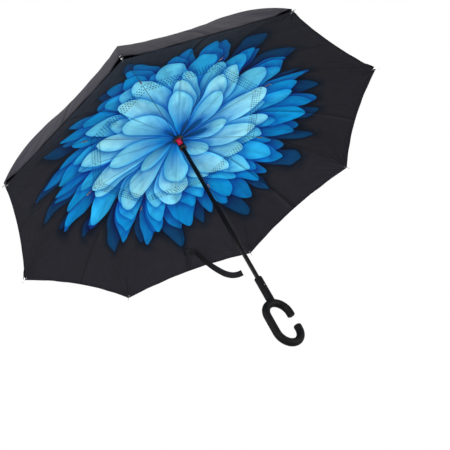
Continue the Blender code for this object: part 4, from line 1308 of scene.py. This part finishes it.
# %% Sew the printed canopy
RUNNER_EDGE = 0.0172
PRINTED_FACE = -1
TIP_STITCHING = 0.0055
rim = float(inner.rim(0.0))
seam_start = THROAT_END + SEAM_CLEAR
welt_end = rim - SEAM_CLEAR - SEAM_INSET
tab_end = TAB_START + TAB_LENGTH
tab_span = (TAB_START + SEAM_INSET, tab_end - SEAM_INSET)
tip_span = (rim - SEAM_INSET - TIP_STITCHING, rim - SEAM_INSET)
pieces = []
for index in range(RIB_COUNT):
    pieces += sew_throat("inner_throat", inner, index, printed_cloth, "channel", RUNNER_EDGE)
    seam = [
        # the welt's dark colour is painted furrow shade as well as thread
        (welt_mesh(inner, index, THROAT_END, ROD_HINGE - SEAM_CLEAR, PRINTED_FACE), dark_thread),
        seam_stitches(inner, index, seam_start, ROD_HINGE - SEAM_CLEAR - SEAM_INSET, PRINTED_FACE),
    ]
    pieces += sew(
        "inner_middle", "seam", inner, index, inner_middle(index), printed_cloth, seam,
        body="channel", width=width_at(ROD_HINGE),
        length=ROD_HINGE - THROAT_END + SLACK_ALLOWANCE,
    )
    trims = [
        (hem_mesh(inner, index, PRINTED_FACE), hem_cloth),
        hem_stitches(inner, index),
        # the welt's dark colour is painted furrow shade as well as thread
        (welt_mesh(inner, index, ROD_HINGE + SEAM_CLEAR, welt_end, PRINTED_FACE), dark_thread),
        seam_stitches(inner, index, tab_end + SEAM_CLEAR, rim - HEM_WIDTH, PRINTED_FACE),
        (tab_mesh(index), hem_cloth),
        tie_stitches(inner, index, *tab_span, -TAB_STITCH_LIFT, TAB_HALF_WIDTH / 2),
        tie_stitches(inner, index, *tip_span, -TIP_STITCH_LIFT, TIP_STITCH_HALF_WIDTH),
    ]
    pieces += sew(
        "inner_border", "trim", inner, index, inner_border(index), printed_cloth, trims,
        body="rod", width=width_at(rim),
        length=float(inner.distance[-1] - inner.reach(ROD_HINGE)) + FLAP_ALLOWANCE,
    )
show_instead(pieces, "inner_canopy")

# %% [markdown]
# ## The plain outer canopy
# The outer canopy has no print and no holes. Its throat is clamped under the cap, its upper piece rides
# on the steel strut up to the knee, and its lower piece rides on the bow down to the rim.

# %% Outer canopy
STRUT_KNEE = 0.335
CROWN_EDGE = 0.0185
UPPER_STEPS = 34
LOWER_STEPS = 34
OUTER_TIP_STITCHING = 0.004
PLAIN_FACE = 1
rim = float(outer.rim(0.0))
welt_end = rim - SEAM_CLEAR - SEAM_INSET
tip_span = (rim - SEAM_INSET - OUTER_TIP_STITCHING, rim - SEAM_INSET)
throat_line, knee_line = across_line(THROAT_END), across_line(STRUT_KNEE)
pieces = []
for index in range(RIB_COUNT):
    pieces += sew_throat("crown_throat", outer, index, black_cloth, "strut", CROWN_EDGE)
    upper = cloth_mesh(outer, index, throat_line, knee_line, UPPER_STEPS)
    seam = [
        # the welt's dark colour is painted furrow shade as well as thread
        (welt_mesh(outer, index, THROAT_END, STRUT_KNEE - SEAM_INSET, PLAIN_FACE), dark_thread),
        seam_stitches(outer, index, seam_start, STRUT_KNEE - SEAM_CLEAR, PLAIN_FACE),
    ]
    pieces += sew(
        "outer_upper", "seam", outer, index, upper, black_cloth, seam,
        body="strut", width=width_at(STRUT_KNEE),
        length=float(outer.reach(STRUT_KNEE) - outer.reach(THROAT_END)),
    )
    lower = cloth_mesh(outer, index, knee_line, outer.rim(SHARES), LOWER_STEPS)
    trims = [
        (hem_mesh(outer, index, PLAIN_FACE), hem_cloth),
        hem_stitches(outer, index),
        # the welt's dark colour is painted furrow shade as well as thread
        (welt_mesh(outer, index, STRUT_KNEE + SEAM_INSET, welt_end, PLAIN_FACE), dark_thread),
        seam_stitches(outer, index, STRUT_KNEE + SEAM_CLEAR, rim - HEM_WIDTH, PLAIN_FACE),
        tie_stitches(outer, index, *tip_span, TIP_STITCH_LIFT, TIP_STITCH_HALF_WIDTH),
    ]
    pieces += sew(
        "outer_lower", "trim", outer, index, lower, black_cloth, trims,
        body="bow", width=width_at(rim),
        length=float(outer.distance[-1] - outer.reach(STRUT_KNEE)) + SLACK_ALLOWANCE,
    )
show_instead(pieces, "outer_canopy")

# %% [markdown]
# ## The tie strap
# The strap is a narrow ribbon, sewn under the printed canopy in the middle of a gore. It hangs out past
# the rim and curls up at its end. It follows the same route as its plain solid in the frame, and near
# its seam it lies under the cloth as that hangs here, slightly lower than the tight skin. A square
# patch with stitches covers where it is sewn on.

# %% Strap
STRAP_RIB = 1
STRAP_WIDTH = 0.018
STRAP_THICKNESS = 0.0008
STRAP_DROP = 0.165
STRAP_TWIST = math.radians(-40)
STRAP_SEAM_FROM_RIM = 0.068
STRAP_SEAM_GAP = 0.0005
STRAP_FINE_STEPS = 8
STRAP_COLUMNS = 6
SELVEDGE_RADIUS = 0.0005
STRAP_ROUTE_SHARES = (
    (0.0, 0.0),
    (0.09, -0.004),
    (0.165, -0.045),
    (0.212, -0.135),
    (0.246, -0.25),
    (0.288, -0.37),
    (0.345, -0.49),
    (0.415, -0.61),
    (0.505, -0.73),
    (0.61, -0.805),
    (0.72, -0.83),
    (0.8, -0.825),
)


def mid_gore_point(distance):
    """A point just below the printed cloth in the strap's gore, halfway between its two ribs."""
    below = -(CLOTH_THICKNESS / 2 + STRAP_SEAM_GAP + STRAP_THICKNESS / 2)
    point = inner.place(float(inner.radius_at(distance)), 0.5, STRAP_RIB, below)
    return Matrix.Rotation(GORE * STRAP_RIB, 3, "Z") @ Vector(point)


seam_distance = inner.distance[-1] - RIM_SAG - STRAP_SEAM_FROM_RIM
seam_point = mid_gore_point(seam_distance)
down_slope = (mid_gore_point(seam_distance + STRAP_WIDTH) - seam_point).normalized()
strap_gore = GORE * (STRAP_RIB + 0.5)
strap_level = Vector((math.sin(strap_gore), -math.cos(strap_gore), 0))
strap_away = down_slope.cross(strap_level).normalized()
route_points = np.array(
    [seam_point + (strap_level * a + Vector((0, 0, b))) * STRAP_DROP for a, b in STRAP_ROUTE_SHARES]
)
route_at = distances(route_points)
strap_length = float(route_at[-1])
fine_steps = STRAP_FINE_STEPS * (len(route_points) - 1) + 1
route = [Vector(point) for point in cubic(route_points, route_at, np.linspace(0, strap_length, fine_steps))]
print("strap length in mm:", round(strap_length * 1000, 1))


def heading_at(line, i):
    """The way that a line runs at its point number i."""
    return (line[min(i + 1, len(line) - 1)] - line[max(i - 1, 0)]).normalized()


def strap_rows():
    """Rows of points across the ribbon, which turns slowly about its own length."""
    rows = []
    for i, p in enumerate(route):
        heading = heading_at(route, i)
        side = (down_slope - heading * heading.dot(down_slope)).normalized()
        side = Matrix.Rotation(STRAP_TWIST * i / (len(route) - 1), 3, heading) @ side
        rows.append([p + side * STRAP_WIDTH * (j / STRAP_COLUMNS - 0.5) for j in range(STRAP_COLUMNS + 1)])
    return rows


def ribbon_map(mesh, place):
    """The ribbon's own map: across it, and along it. place gives both for a vertex."""
    layer = mesh.uv_layers.new(name="ribbon_map")
    for loop in mesh.loops:
        layer.uv[loop.index].vector = place(loop.vertex_index)


def on_ribbon(vertex):
    row, column = divmod(vertex, STRAP_COLUMNS + 1)
    return STRAP_WIDTH * column / STRAP_COLUMNS, strap_length * row / (len(route) - 1)


def on_strap(piece):
    """Lets a piece ride with the strap."""
    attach(piece, "strap")
    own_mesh(piece)
    return piece


strap_bm = bmesh.new()
add_grid(strap_bm, strap_rows())
strap = joined("tie_strap", [(mesh_of(strap_bm), ribbon)])
ribbon_map(strap.data, on_ribbon)
thickened(strap, STRAP_THICKNESS)
edge_lines = [[row[column] for row in strap_rows()] for column in (0, STRAP_COLUMNS)]
edge_mesh = round_stock.run(line_mesh(edge_lines), Radius=SELVEDGE_RADIUS, Sides=8, Finish=ribbon)
selvedge = joined("strap_selvedge", [(edge_mesh, ribbon)])
heights = [v.co.z for v in selvedge.data.vertices]
ribbon_map(selvedge.data, lambda vertex: (0.0, seam_point.z - heights[vertex]))
for piece in (strap, selvedge):
    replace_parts(on_strap(piece), "strap")

# %% Patch over the strap's seam
PATCH_HALF = 0.0105
PATCH_STEPS = 6
PATCH_DEPTH = 0.0008
PATCH_BULGE = 0.0005
PATCH_GAP = 0.0003
PATCH_SLOPE = 0.04
PATCH_INSET = 0.8
PATCH_ALONG = 0.8
patch_offset = strap_away * (STRAP_THICKNESS / 2 + PATCH_GAP)
patch_centre = seam_point + strap_level * (PATCH_HALF * PATCH_ALONG) + patch_offset


def patch_point(a, b, depth):
    """A point of the patch: a along the strap, b across it, from -1 to 1, bulging over the ribbon."""
    bulge = PATCH_BULGE * (1 - a * a) * (1 - b * b)
    drop = Vector((0, 0, -PATCH_SLOPE)) * (a + 1) * PATCH_HALF
    flat = patch_centre + (strap_level * a + down_slope * b) * PATCH_HALF
    return flat + drop + strap_away * (depth + bulge)


ticks = [2 * i / PATCH_STEPS - 1 for i in range(PATCH_STEPS + 1)]
patch_bm = bmesh.new()
add_grid(patch_bm, [[patch_point(a, b, 0.0) for b in ticks] for a in ticks])
strap_patch = joined("strap_patch", [(mesh_of(patch_bm), ribbon)])
thickened(strap_patch, PATCH_DEPTH)
spread_map(strap_patch, inner, 0.0)
square = [(-1, -1), (1, -1), (1, 1), (-1, 1), (-1, -1), (1, 1)]
patch_line = [patch_point(a * PATCH_INSET, b * PATCH_INSET, PATCH_DEPTH / 2) for a, b in square]
patch_thread = joined("strap_patch_thread", [sewn([patch_line], grey_thread, SEAM_STITCH)])
trims = [selvedge, on_strap(strap_patch), on_strap(patch_thread)]
print("patch across in mm:", 2000 * PATCH_HALF)

# %% [markdown]
# ## The C-shaped grip
# The grip is a long loop with a gap, moulded in one with a short root that takes the neck. A tube swept
# along the loop and a plain root don't flow into each other, as a moulding does. So both are joined,
# remeshed as one even skin, and smoothed a little, which leaves a soft fillet between them.

# %% Grip
GRIP_TUBE_RADIUS = 0.0102
GRIP_BEND_RADIUS = 0.03505
GRIP_STRAIGHT = 0.047
GRIP_MOUTH = 0.0276
GRIP_END_ROUND = 0.003
GRIP_SIDES = 40
GRIP_BEND_STEPS = 40
GRIP_END_STEPS = 5
GRIP_VOXEL = 0.0009
GRIP_SMOOTHING = 6
NECK_RADIUS = 0.0105
GRIP_ROOT_DEPTH = 0.014
GRIP_ROOT_GAP = 0.0002
grip_low, grip_high = box_of("grip")
grip_centre = grip_low.z + GRIP_TUBE_RADIUS + GRIP_BEND_RADIUS + GRIP_STRAIGHT / 2


def grip_line():
    """The middle line of the loop, from the upper end round to the lower end."""
    points = [Vector((GRIP_BEND_RADIUS, 0, grip_centre + GRIP_MOUTH / 2 + GRIP_END_ROUND))]
    for side, start in ((GRIP_STRAIGHT / 2, 0.0), (-GRIP_STRAIGHT / 2, math.pi)):
        for i in range(GRIP_BEND_STEPS + 1):
            angle = start + math.pi * i / GRIP_BEND_STEPS
            x, z = GRIP_BEND_RADIUS * math.cos(angle), GRIP_BEND_RADIUS * math.sin(angle)
            points.append(Vector((x, 0, grip_centre + side + z)))
    points.append(Vector((GRIP_BEND_RADIUS, 0, grip_centre - GRIP_MOUTH / 2 - GRIP_END_ROUND)))
    return points


def grip_rings():
    """Rings along the loop, narrowing in a quarter round at both ends."""
    line = grip_line()
    headings = [heading_at(line, i) for i in range(len(line))]
    stations = [(place, heading, GRIP_TUBE_RADIUS) for place, heading in zip(line, headings)]
    for i in range(1, GRIP_END_STEPS + 1):
        angle = math.pi / 2 * i / GRIP_END_STEPS
        size = GRIP_TUBE_RADIUS - GRIP_END_ROUND * (1 - math.cos(angle))
        step = GRIP_END_ROUND * math.sin(angle)
        stations.insert(0, (line[0] - headings[0] * step, headings[0], size))
        stations.append((line[-1] + headings[-1] * step, headings[-1], size))
    rings = []
    turns = [math.tau * i / GRIP_SIDES for i in range(GRIP_SIDES)]
    for place, heading, size in stations:
        up = Vector((-heading.z, 0, heading.x))
        rings.append([place + up * size * math.cos(a) + Vector((0, size * math.sin(a), 0)) for a in turns])
    return rings


def add_cylinder(bm, centre, axis, radius, length, sides):
    """Adds a closed cylinder to a mesh."""
    turn = Vector((0, 0, 1)).rotation_difference(Vector(axis)).to_matrix().to_4x4()
    place = Matrix.Translation(centre) @ turn
    bmesh.ops.create_cone(
        bm, cap_ends=True, segments=sides, radius1=radius, radius2=radius, depth=length, matrix=place
    )


def stands_for(made, node, body):
    """Lets a piece ride a body and take the place of a piece of the frame."""
    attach(made, body)
    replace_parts(made, node)


grip_bm = bmesh.new()
add_loft(grip_bm, grip_rings())
root_centre = Vector((0, 0, grip_high.z - GRIP_ROOT_GAP - GRIP_ROOT_DEPTH / 2))
add_cylinder(grip_bm, root_centre, (0, 0, 1), NECK_RADIUS, GRIP_ROOT_DEPTH, GRIP_SIDES)
grip = joined("grip_moulding", [(mesh_of(grip_bm), rubber)])
remesh = grip.modifiers.new("skin", "REMESH")
remesh.mode = "VOXEL"
remesh.voxel_size = GRIP_VOXEL
smooth = grip.modifiers.new("soften", "SMOOTH")
smooth.iterations = GRIP_SMOOTHING
grip.data = evaluated_mesh(grip)
grip.modifiers.clear()
grip.data.shade_smooth()
grip.data.materials.clear()
grip.data.materials.append(rubber)
stands_for(grip, "grip", "handle")
print("grip faces:", len(grip.data.polygons))

# %% [markdown]
# ## Turned and drawn parts
# The neck, shaft, cap and runner are round. The frame makes them with few sides, which shows as flats
# up close. Here they are turned again from the same sizes with fine sides and small rounded edges. A
# bevel on the sharp edges gives each edge a thin line of light, as on a real moulding.

# %% Turning, cutting and rounding
TURNED_SIDES = 64
SHARP = math.radians(32)
SOFT_EDGE = 0.0004
FINE_EDGE = 0.0002


def turned(name, outline, finish, sides=TURNED_SIDES):
    """A piece turned round the shaft's axis, from (radius, height) points."""
    bm = bmesh.new()
    verts = [bm.verts.new((r, 0, z)) for r, z in outline]
    edges = [bm.edges.new(pair) for pair in zip(verts, verts[1:])]
    if outline[0][0] > 0:
        edges.append(bm.edges.new((verts[-1], verts[0])))
    bmesh.ops.spin(
        bm, geom=verts + edges, axis=(0, 0, 1), cent=(0, 0, 0), angle=math.tau, steps=sides, use_merge=True
    )
    bmesh.ops.remove_doubles(bm, verts=bm.verts[:], dist=MERGE)
    return joined(name, [(mesh_of(bm), finish)])


def cut(made, cutters):
    """Cuts other objects out of a piece and removes them."""
    for cutter in cutters:
        hole = made.modifiers.new("cut", "BOOLEAN")
        hole.object = cutter
        hole.operation = "DIFFERENCE"
    mesh = evaluated_mesh(made)
    made.modifiers.clear()
    made.data = mesh
    for cutter in cutters:
        bpy.data.objects.remove(cutter)


def edged(made, width, segments=2):
    """Rounds a piece's sharp edges and shades the rest smooth."""
    made.data.shade_smooth()
    made.data.set_sharp_from_angle(angle=SHARP)
    bevel = made.modifiers.new("edges", "BEVEL")
    bevel.width = width
    bevel.segments = segments
    bevel.limit_method = "ANGLE"
    bevel.angle_limit = SHARP
    bevel.harden_normals = False
    return made


# %% Neck
SHAFT_RADIUS = 0.00575
BORE_GAP = 0.0003
NECK_RING_DEPTH = 0.0006
NECK_RING_WIDTH = 0.0016
NECK_RING_DOWN = 0.008
NECK_EDGE = 0.0012
NECK_FLOOR = 0.005
TENON_RADIUS = 0.005
TENON_LENGTH = 0.009


def cylinder(name, centre, axis, radius, length, sides=32):
    bm = bmesh.new()
    add_cylinder(bm, centre, axis, radius, length, sides)
    return joined(name, [(mesh_of(bm), satin_plastic)])


neck_low, neck_high = box_of("grip_neck")
neck_bottom = neck_low.z + TENON_LENGTH
ring_top = neck_high.z - NECK_RING_DOWN
neck_outline = [
    (0, neck_low.z),
    (TENON_RADIUS, neck_low.z),
    (TENON_RADIUS, neck_bottom),
    (NECK_RADIUS - NECK_EDGE, neck_bottom),
    (NECK_RADIUS, neck_bottom + NECK_EDGE),
    (NECK_RADIUS, ring_top - NECK_RING_WIDTH),
    (NECK_RADIUS - NECK_RING_DEPTH, ring_top - NECK_RING_WIDTH + NECK_RING_DEPTH),
    (NECK_RADIUS - NECK_RING_DEPTH, ring_top - NECK_RING_DEPTH),
    (NECK_RADIUS, ring_top),
    (NECK_RADIUS, neck_high.z - NECK_EDGE),
    (NECK_RADIUS - NECK_EDGE, neck_high.z),
    (SHAFT_RADIUS + BORE_GAP, neck_high.z),
    (SHAFT_RADIUS + BORE_GAP, neck_bottom + NECK_FLOOR),
    (0, neck_bottom + NECK_FLOOR),
]
neck = turned("grip_neck_moulding", neck_outline, rubber)
pin_low, pin_high = box_of("neck_pin")
pin_middle = (pin_low + pin_high) / 2
pin_radius = (pin_high.z - pin_low.z) / 2
cut(neck, [cylinder("pin_hole", pin_middle, (0, 1, 0), pin_radius + BORE_GAP, 4 * NECK_RADIUS)])
stands_for(edged(neck, SOFT_EDGE), "grip_neck", "handle")
print("neck length in mm:", round((neck_high.z - neck_bottom) * 1000, 1))

# %% Shaft
SHAFT_WALL = 0.0007
SHAFT_SIDES = 48
shaft_low, shaft_high = box_of("shaft")
shaft_outline = [
    (SHAFT_RADIUS - SHAFT_WALL, shaft_low.z),
    (SHAFT_RADIUS, shaft_low.z),
    (SHAFT_RADIUS, shaft_high.z),
    (SHAFT_RADIUS - SHAFT_WALL, shaft_high.z),
]
tube = turned("shaft_tube", shaft_outline, lacquer, SHAFT_SIDES)
stands_for(edged(tube, FINE_EDGE), "shaft", "handle")
print("shaft length in mm:", round((shaft_high.z - shaft_low.z) * 1000, 1))

# %% Crown cap
CAP_RADIUS = 0.0115
CAP_TOP_RADIUS = 0.0045
CAP_RIM = 0.0025
CAP_STEPS = 18
cap_low, cap_high = box_of("crown_cap")
dome = cap_high.z - cap_low.z - CAP_RIM
cap_outline = [(0, shaft_high.z + BORE_GAP), (SHAFT_RADIUS + BORE_GAP, shaft_high.z + BORE_GAP)]
cap_outline += [(SHAFT_RADIUS + BORE_GAP, cap_low.z), (CAP_RADIUS, cap_low.z)]
for i in range(CAP_STEPS + 1):
    angle = math.pi / 2 * i / CAP_STEPS
    cap_radius = CAP_TOP_RADIUS + (CAP_RADIUS - CAP_TOP_RADIUS) * math.cos(angle)
    cap_outline.append((cap_radius, cap_low.z + CAP_RIM + dome * math.sin(angle)))
cap_outline.append((0, cap_high.z))
cap = turned("crown_cap_moulding", cap_outline, satin_plastic)
stands_for(edged(cap, SOFT_EDGE), "crown_cap", "handle")
print("cap height in mm:", round((cap_high.z - cap_low.z) * 1000, 1))

# %% Runner
COLLAR_RADIUS = 0.0108
COLLAR_HEIGHT = 0.007
RUNNER_RADIUS = 0.01
RUNNER_NECK_RADIUS = 0.0094
FLANGE_RADIUS = 0.0155
FLANGE_THICKNESS = 0.0028
FLANGE_CONE = 0.0045
RUNNING_GAP = 0.0004
GROOVE_DEPTH = 0.0004
FIRST_GROOVE = 0.0022
GROOVE_PITCH = 0.0015
RUNNER_GROOVES = 3
runner_low, runner_high = box_of("runner")
bore = SHAFT_RADIUS + RUNNING_GAP
runner_outline = [(bore, runner_low.z), (COLLAR_RADIUS - NECK_EDGE, runner_low.z)]
runner_outline += [(COLLAR_RADIUS, runner_low.z + NECK_EDGE)]
for step in range(RUNNER_GROOVES):
    groove = runner_low.z + FIRST_GROOVE + GROOVE_PITCH * step
    runner_outline += [(COLLAR_RADIUS, groove), (COLLAR_RADIUS - GROOVE_DEPTH, groove + GROOVE_DEPTH)]
    runner_outline += [(COLLAR_RADIUS, groove + 2 * GROOVE_DEPTH)]
runner_outline += [
    (COLLAR_RADIUS, runner_low.z + COLLAR_HEIGHT),
    (RUNNER_RADIUS, runner_low.z + COLLAR_HEIGHT + COLLAR_RADIUS - RUNNER_RADIUS),
    (RUNNER_NECK_RADIUS, runner_high.z - FLANGE_THICKNESS - FLANGE_CONE),
    (FLANGE_RADIUS, runner_high.z - FLANGE_THICKNESS),
    (FLANGE_RADIUS, runner_high.z),
    (bore, runner_high.z),
]
runner = turned("runner_moulding", runner_outline, satin_plastic)
print("runner length in mm:", round((runner_high.z - runner_low.z) * 1000, 1))

# %% Pocket for the button
POCKET_FLOOR = 0.0069
POCKET_GAP = 0.0003
RUNNER_SOFT_EDGE = 0.00025
BUTTON_AZIMUTH = math.radians(225)
BUTTON_WIDTH = 0.0124
BUTTON_HEIGHT = 0.0178
BUTTON_FACE = 0.0127
button_low, button_high = box_of("button")
button_middle = (button_low.z + button_high.z) / 2


def block(name, low, high, finish):
    """A box in the button's own plane, turned to its side of the shaft."""
    bm = bmesh.new()
    bmesh.ops.create_cube(bm, size=1)
    low, high = Vector(low), Vector(high)
    bmesh.ops.scale(bm, vec=high - low, verts=bm.verts[:])
    bmesh.ops.translate(bm, vec=(low + high) / 2, verts=bm.verts[:])
    made = joined(name, [(mesh_of(bm), finish)])
    made.data.transform(Matrix.Rotation(BUTTON_AZIMUTH, 4, "Z"))
    return made


half_width, half_height = BUTTON_WIDTH / 2, BUTTON_HEIGHT / 2
pocket = block(
    "pocket",
    (POCKET_FLOOR, -half_width - POCKET_GAP, button_middle - half_height - POCKET_GAP),
    (2 * BUTTON_FACE, half_width + POCKET_GAP, button_middle + half_height + POCKET_GAP),
    satin_plastic,
)
cut(runner, [pocket])
stands_for(edged(runner, RUNNER_SOFT_EDGE), "runner", "runner")
print("pocket depth in mm:", round((RUNNER_RADIUS - POCKET_FLOOR) * 1000, 1))

# %% Button
BUTTON_BACK = 0.0093
BUTTON_EDGE = 0.0012
BUTTON_EDGE_STEPS = 4
BUTTON_GROOVES = 4
BUTTON_GROOVE_PITCH = 0.0024
BUTTON_GROOVE_OUT = 0.0004
BUTTON_GROOVE_RADIUS = 0.0007
BUTTON_GROOVE_LENGTH = 0.0072
RECESS_RADIUS = 0.0026
RECESS_DEPTH = 0.0023
red_button = block(
    "push_button",
    (BUTTON_BACK, -half_width, button_middle - half_height),
    (BUTTON_FACE, half_width, button_middle + half_height),
    button_plastic,
)
button_heading = Vector((math.cos(BUTTON_AZIMUTH), math.sin(BUTTON_AZIMUTH), 0))
button_side = Vector((-button_heading.y, button_heading.x, 0))
button_place = Vector((0, 0, button_middle))
cutters = []
for i in range(BUTTON_GROOVES):
    height = Vector((0, 0, button_middle + (i - (BUTTON_GROOVES - 1) / 2) * BUTTON_GROOVE_PITCH))
    place = button_heading * (BUTTON_FACE + BUTTON_GROOVE_OUT) + height
    cutters.append(cylinder("groove", place, button_side, BUTTON_GROOVE_RADIUS, BUTTON_GROOVE_LENGTH, 16))
recess_centre = button_place + button_heading * BUTTON_BACK
cutters.append(cylinder("recess", recess_centre, button_heading, RECESS_RADIUS, 2 * RECESS_DEPTH))
cut(red_button, cutters)
stands_for(edged(red_button, BUTTON_EDGE, BUTTON_EDGE_STEPS), "button", "button")
print("button grooves:", BUTTON_GROOVES)

# %% [markdown]
# ## The button's spring
# Behind the button sits a small coil spring, which is squeezed when the button is pushed. It is round
# stock along a helix, so the same tree that could sweep a wire along any line makes it. It rides with
# the runner.

# %% Button spring
SPRING_TURNS = 4
SPRING_STEPS = 20
SPRING_RADIUS = 0.0019
SPRING_WIRE = 0.00025
spring_start = POCKET_FLOOR + 2 * SPRING_WIRE
spring_end = BUTTON_BACK + RECESS_DEPTH - 2 * SPRING_WIRE
coil = []
for i in range(SPRING_TURNS * SPRING_STEPS + 1):
    angle = math.tau * i / SPRING_STEPS
    along = spring_start + (spring_end - spring_start) * i / (SPRING_TURNS * SPRING_STEPS)
    around = button_side * math.cos(angle) + Vector((0, 0, math.sin(angle)))
    coil.append(button_place + button_heading * along + around * SPRING_RADIUS)
spring_mesh = round_stock.run(line_mesh([coil]), Radius=SPRING_WIRE, Sides=8, Finish=nickel)
spring = joined("press_spring", [(spring_mesh, nickel)])
stands_for(spring, "button_spring", "runner")
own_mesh(spring)
print("spring length in mm:", round((spring_end - spring_start) * 1000, 2))

# %% [markdown]
# ## Ribs
# Each rib is a pressed steel channel, a glass-fibre rod and a metal tip, with a steel strut and a bow
# above it. The flat pieces keep the frame's shape: a copy is welded, its flat faces are joined again, and
# its edges are rounded. The round ones lie between the two canopies, where only their ends show, so they
# keep the frame's own mesh and get a finish.

# %% Softened copies of the frame's pieces
FLAT = math.radians(1)
WELD = 0.00001
CHANNEL_EDGE = 0.00012
STRUT_EDGE = 0.00015


def softened(node, finish, body, width):
    """A welded copy of a frame piece with small round edges."""
    source = frame["nodes"][node]
    bm = bmesh.new()
    bm.from_mesh(source.data)
    bmesh.ops.remove_doubles(bm, verts=bm.verts[:], dist=WELD)
    bmesh.ops.dissolve_limit(bm, angle_limit=FLAT, verts=bm.verts[:], edges=bm.edges[:])
    made = joined(f"{node}_finished", [(written(bm, node), finish)])
    stands_for(edged(made, width), node, body)


for number in range(1, RIB_COUNT + 1):
    softened(f"channel_{number}", painted_steel, f"channel_{number}", CHANNEL_EDGE)
    softened(f"strut_{number}", painted_steel, f"strut_{number}", STRUT_EDGE)
softened("rib_hub", satin_plastic, "runner", FINE_EDGE)
softened("crown_hub", satin_plastic, "handle", FINE_EDGE)
print("softened pieces:", 2 * RIB_COUNT + 2)

# %% Finishes on what keeps its frame shape
kept = {node: nickel for node in ("neck_pin", "crown_pin", "rib_wire", "latch_plate")}
for number in range(1, RIB_COUNT + 1):
    kept.update({f"rod_{number}": fibre, f"bow_{number}": fibre, f"tip_{number}": nickel})
for node, finish in kept.items():
    for slot in frame["nodes"][node].material_slots:
        slot.material = finish
print("pieces with their frame shape:", len(kept))
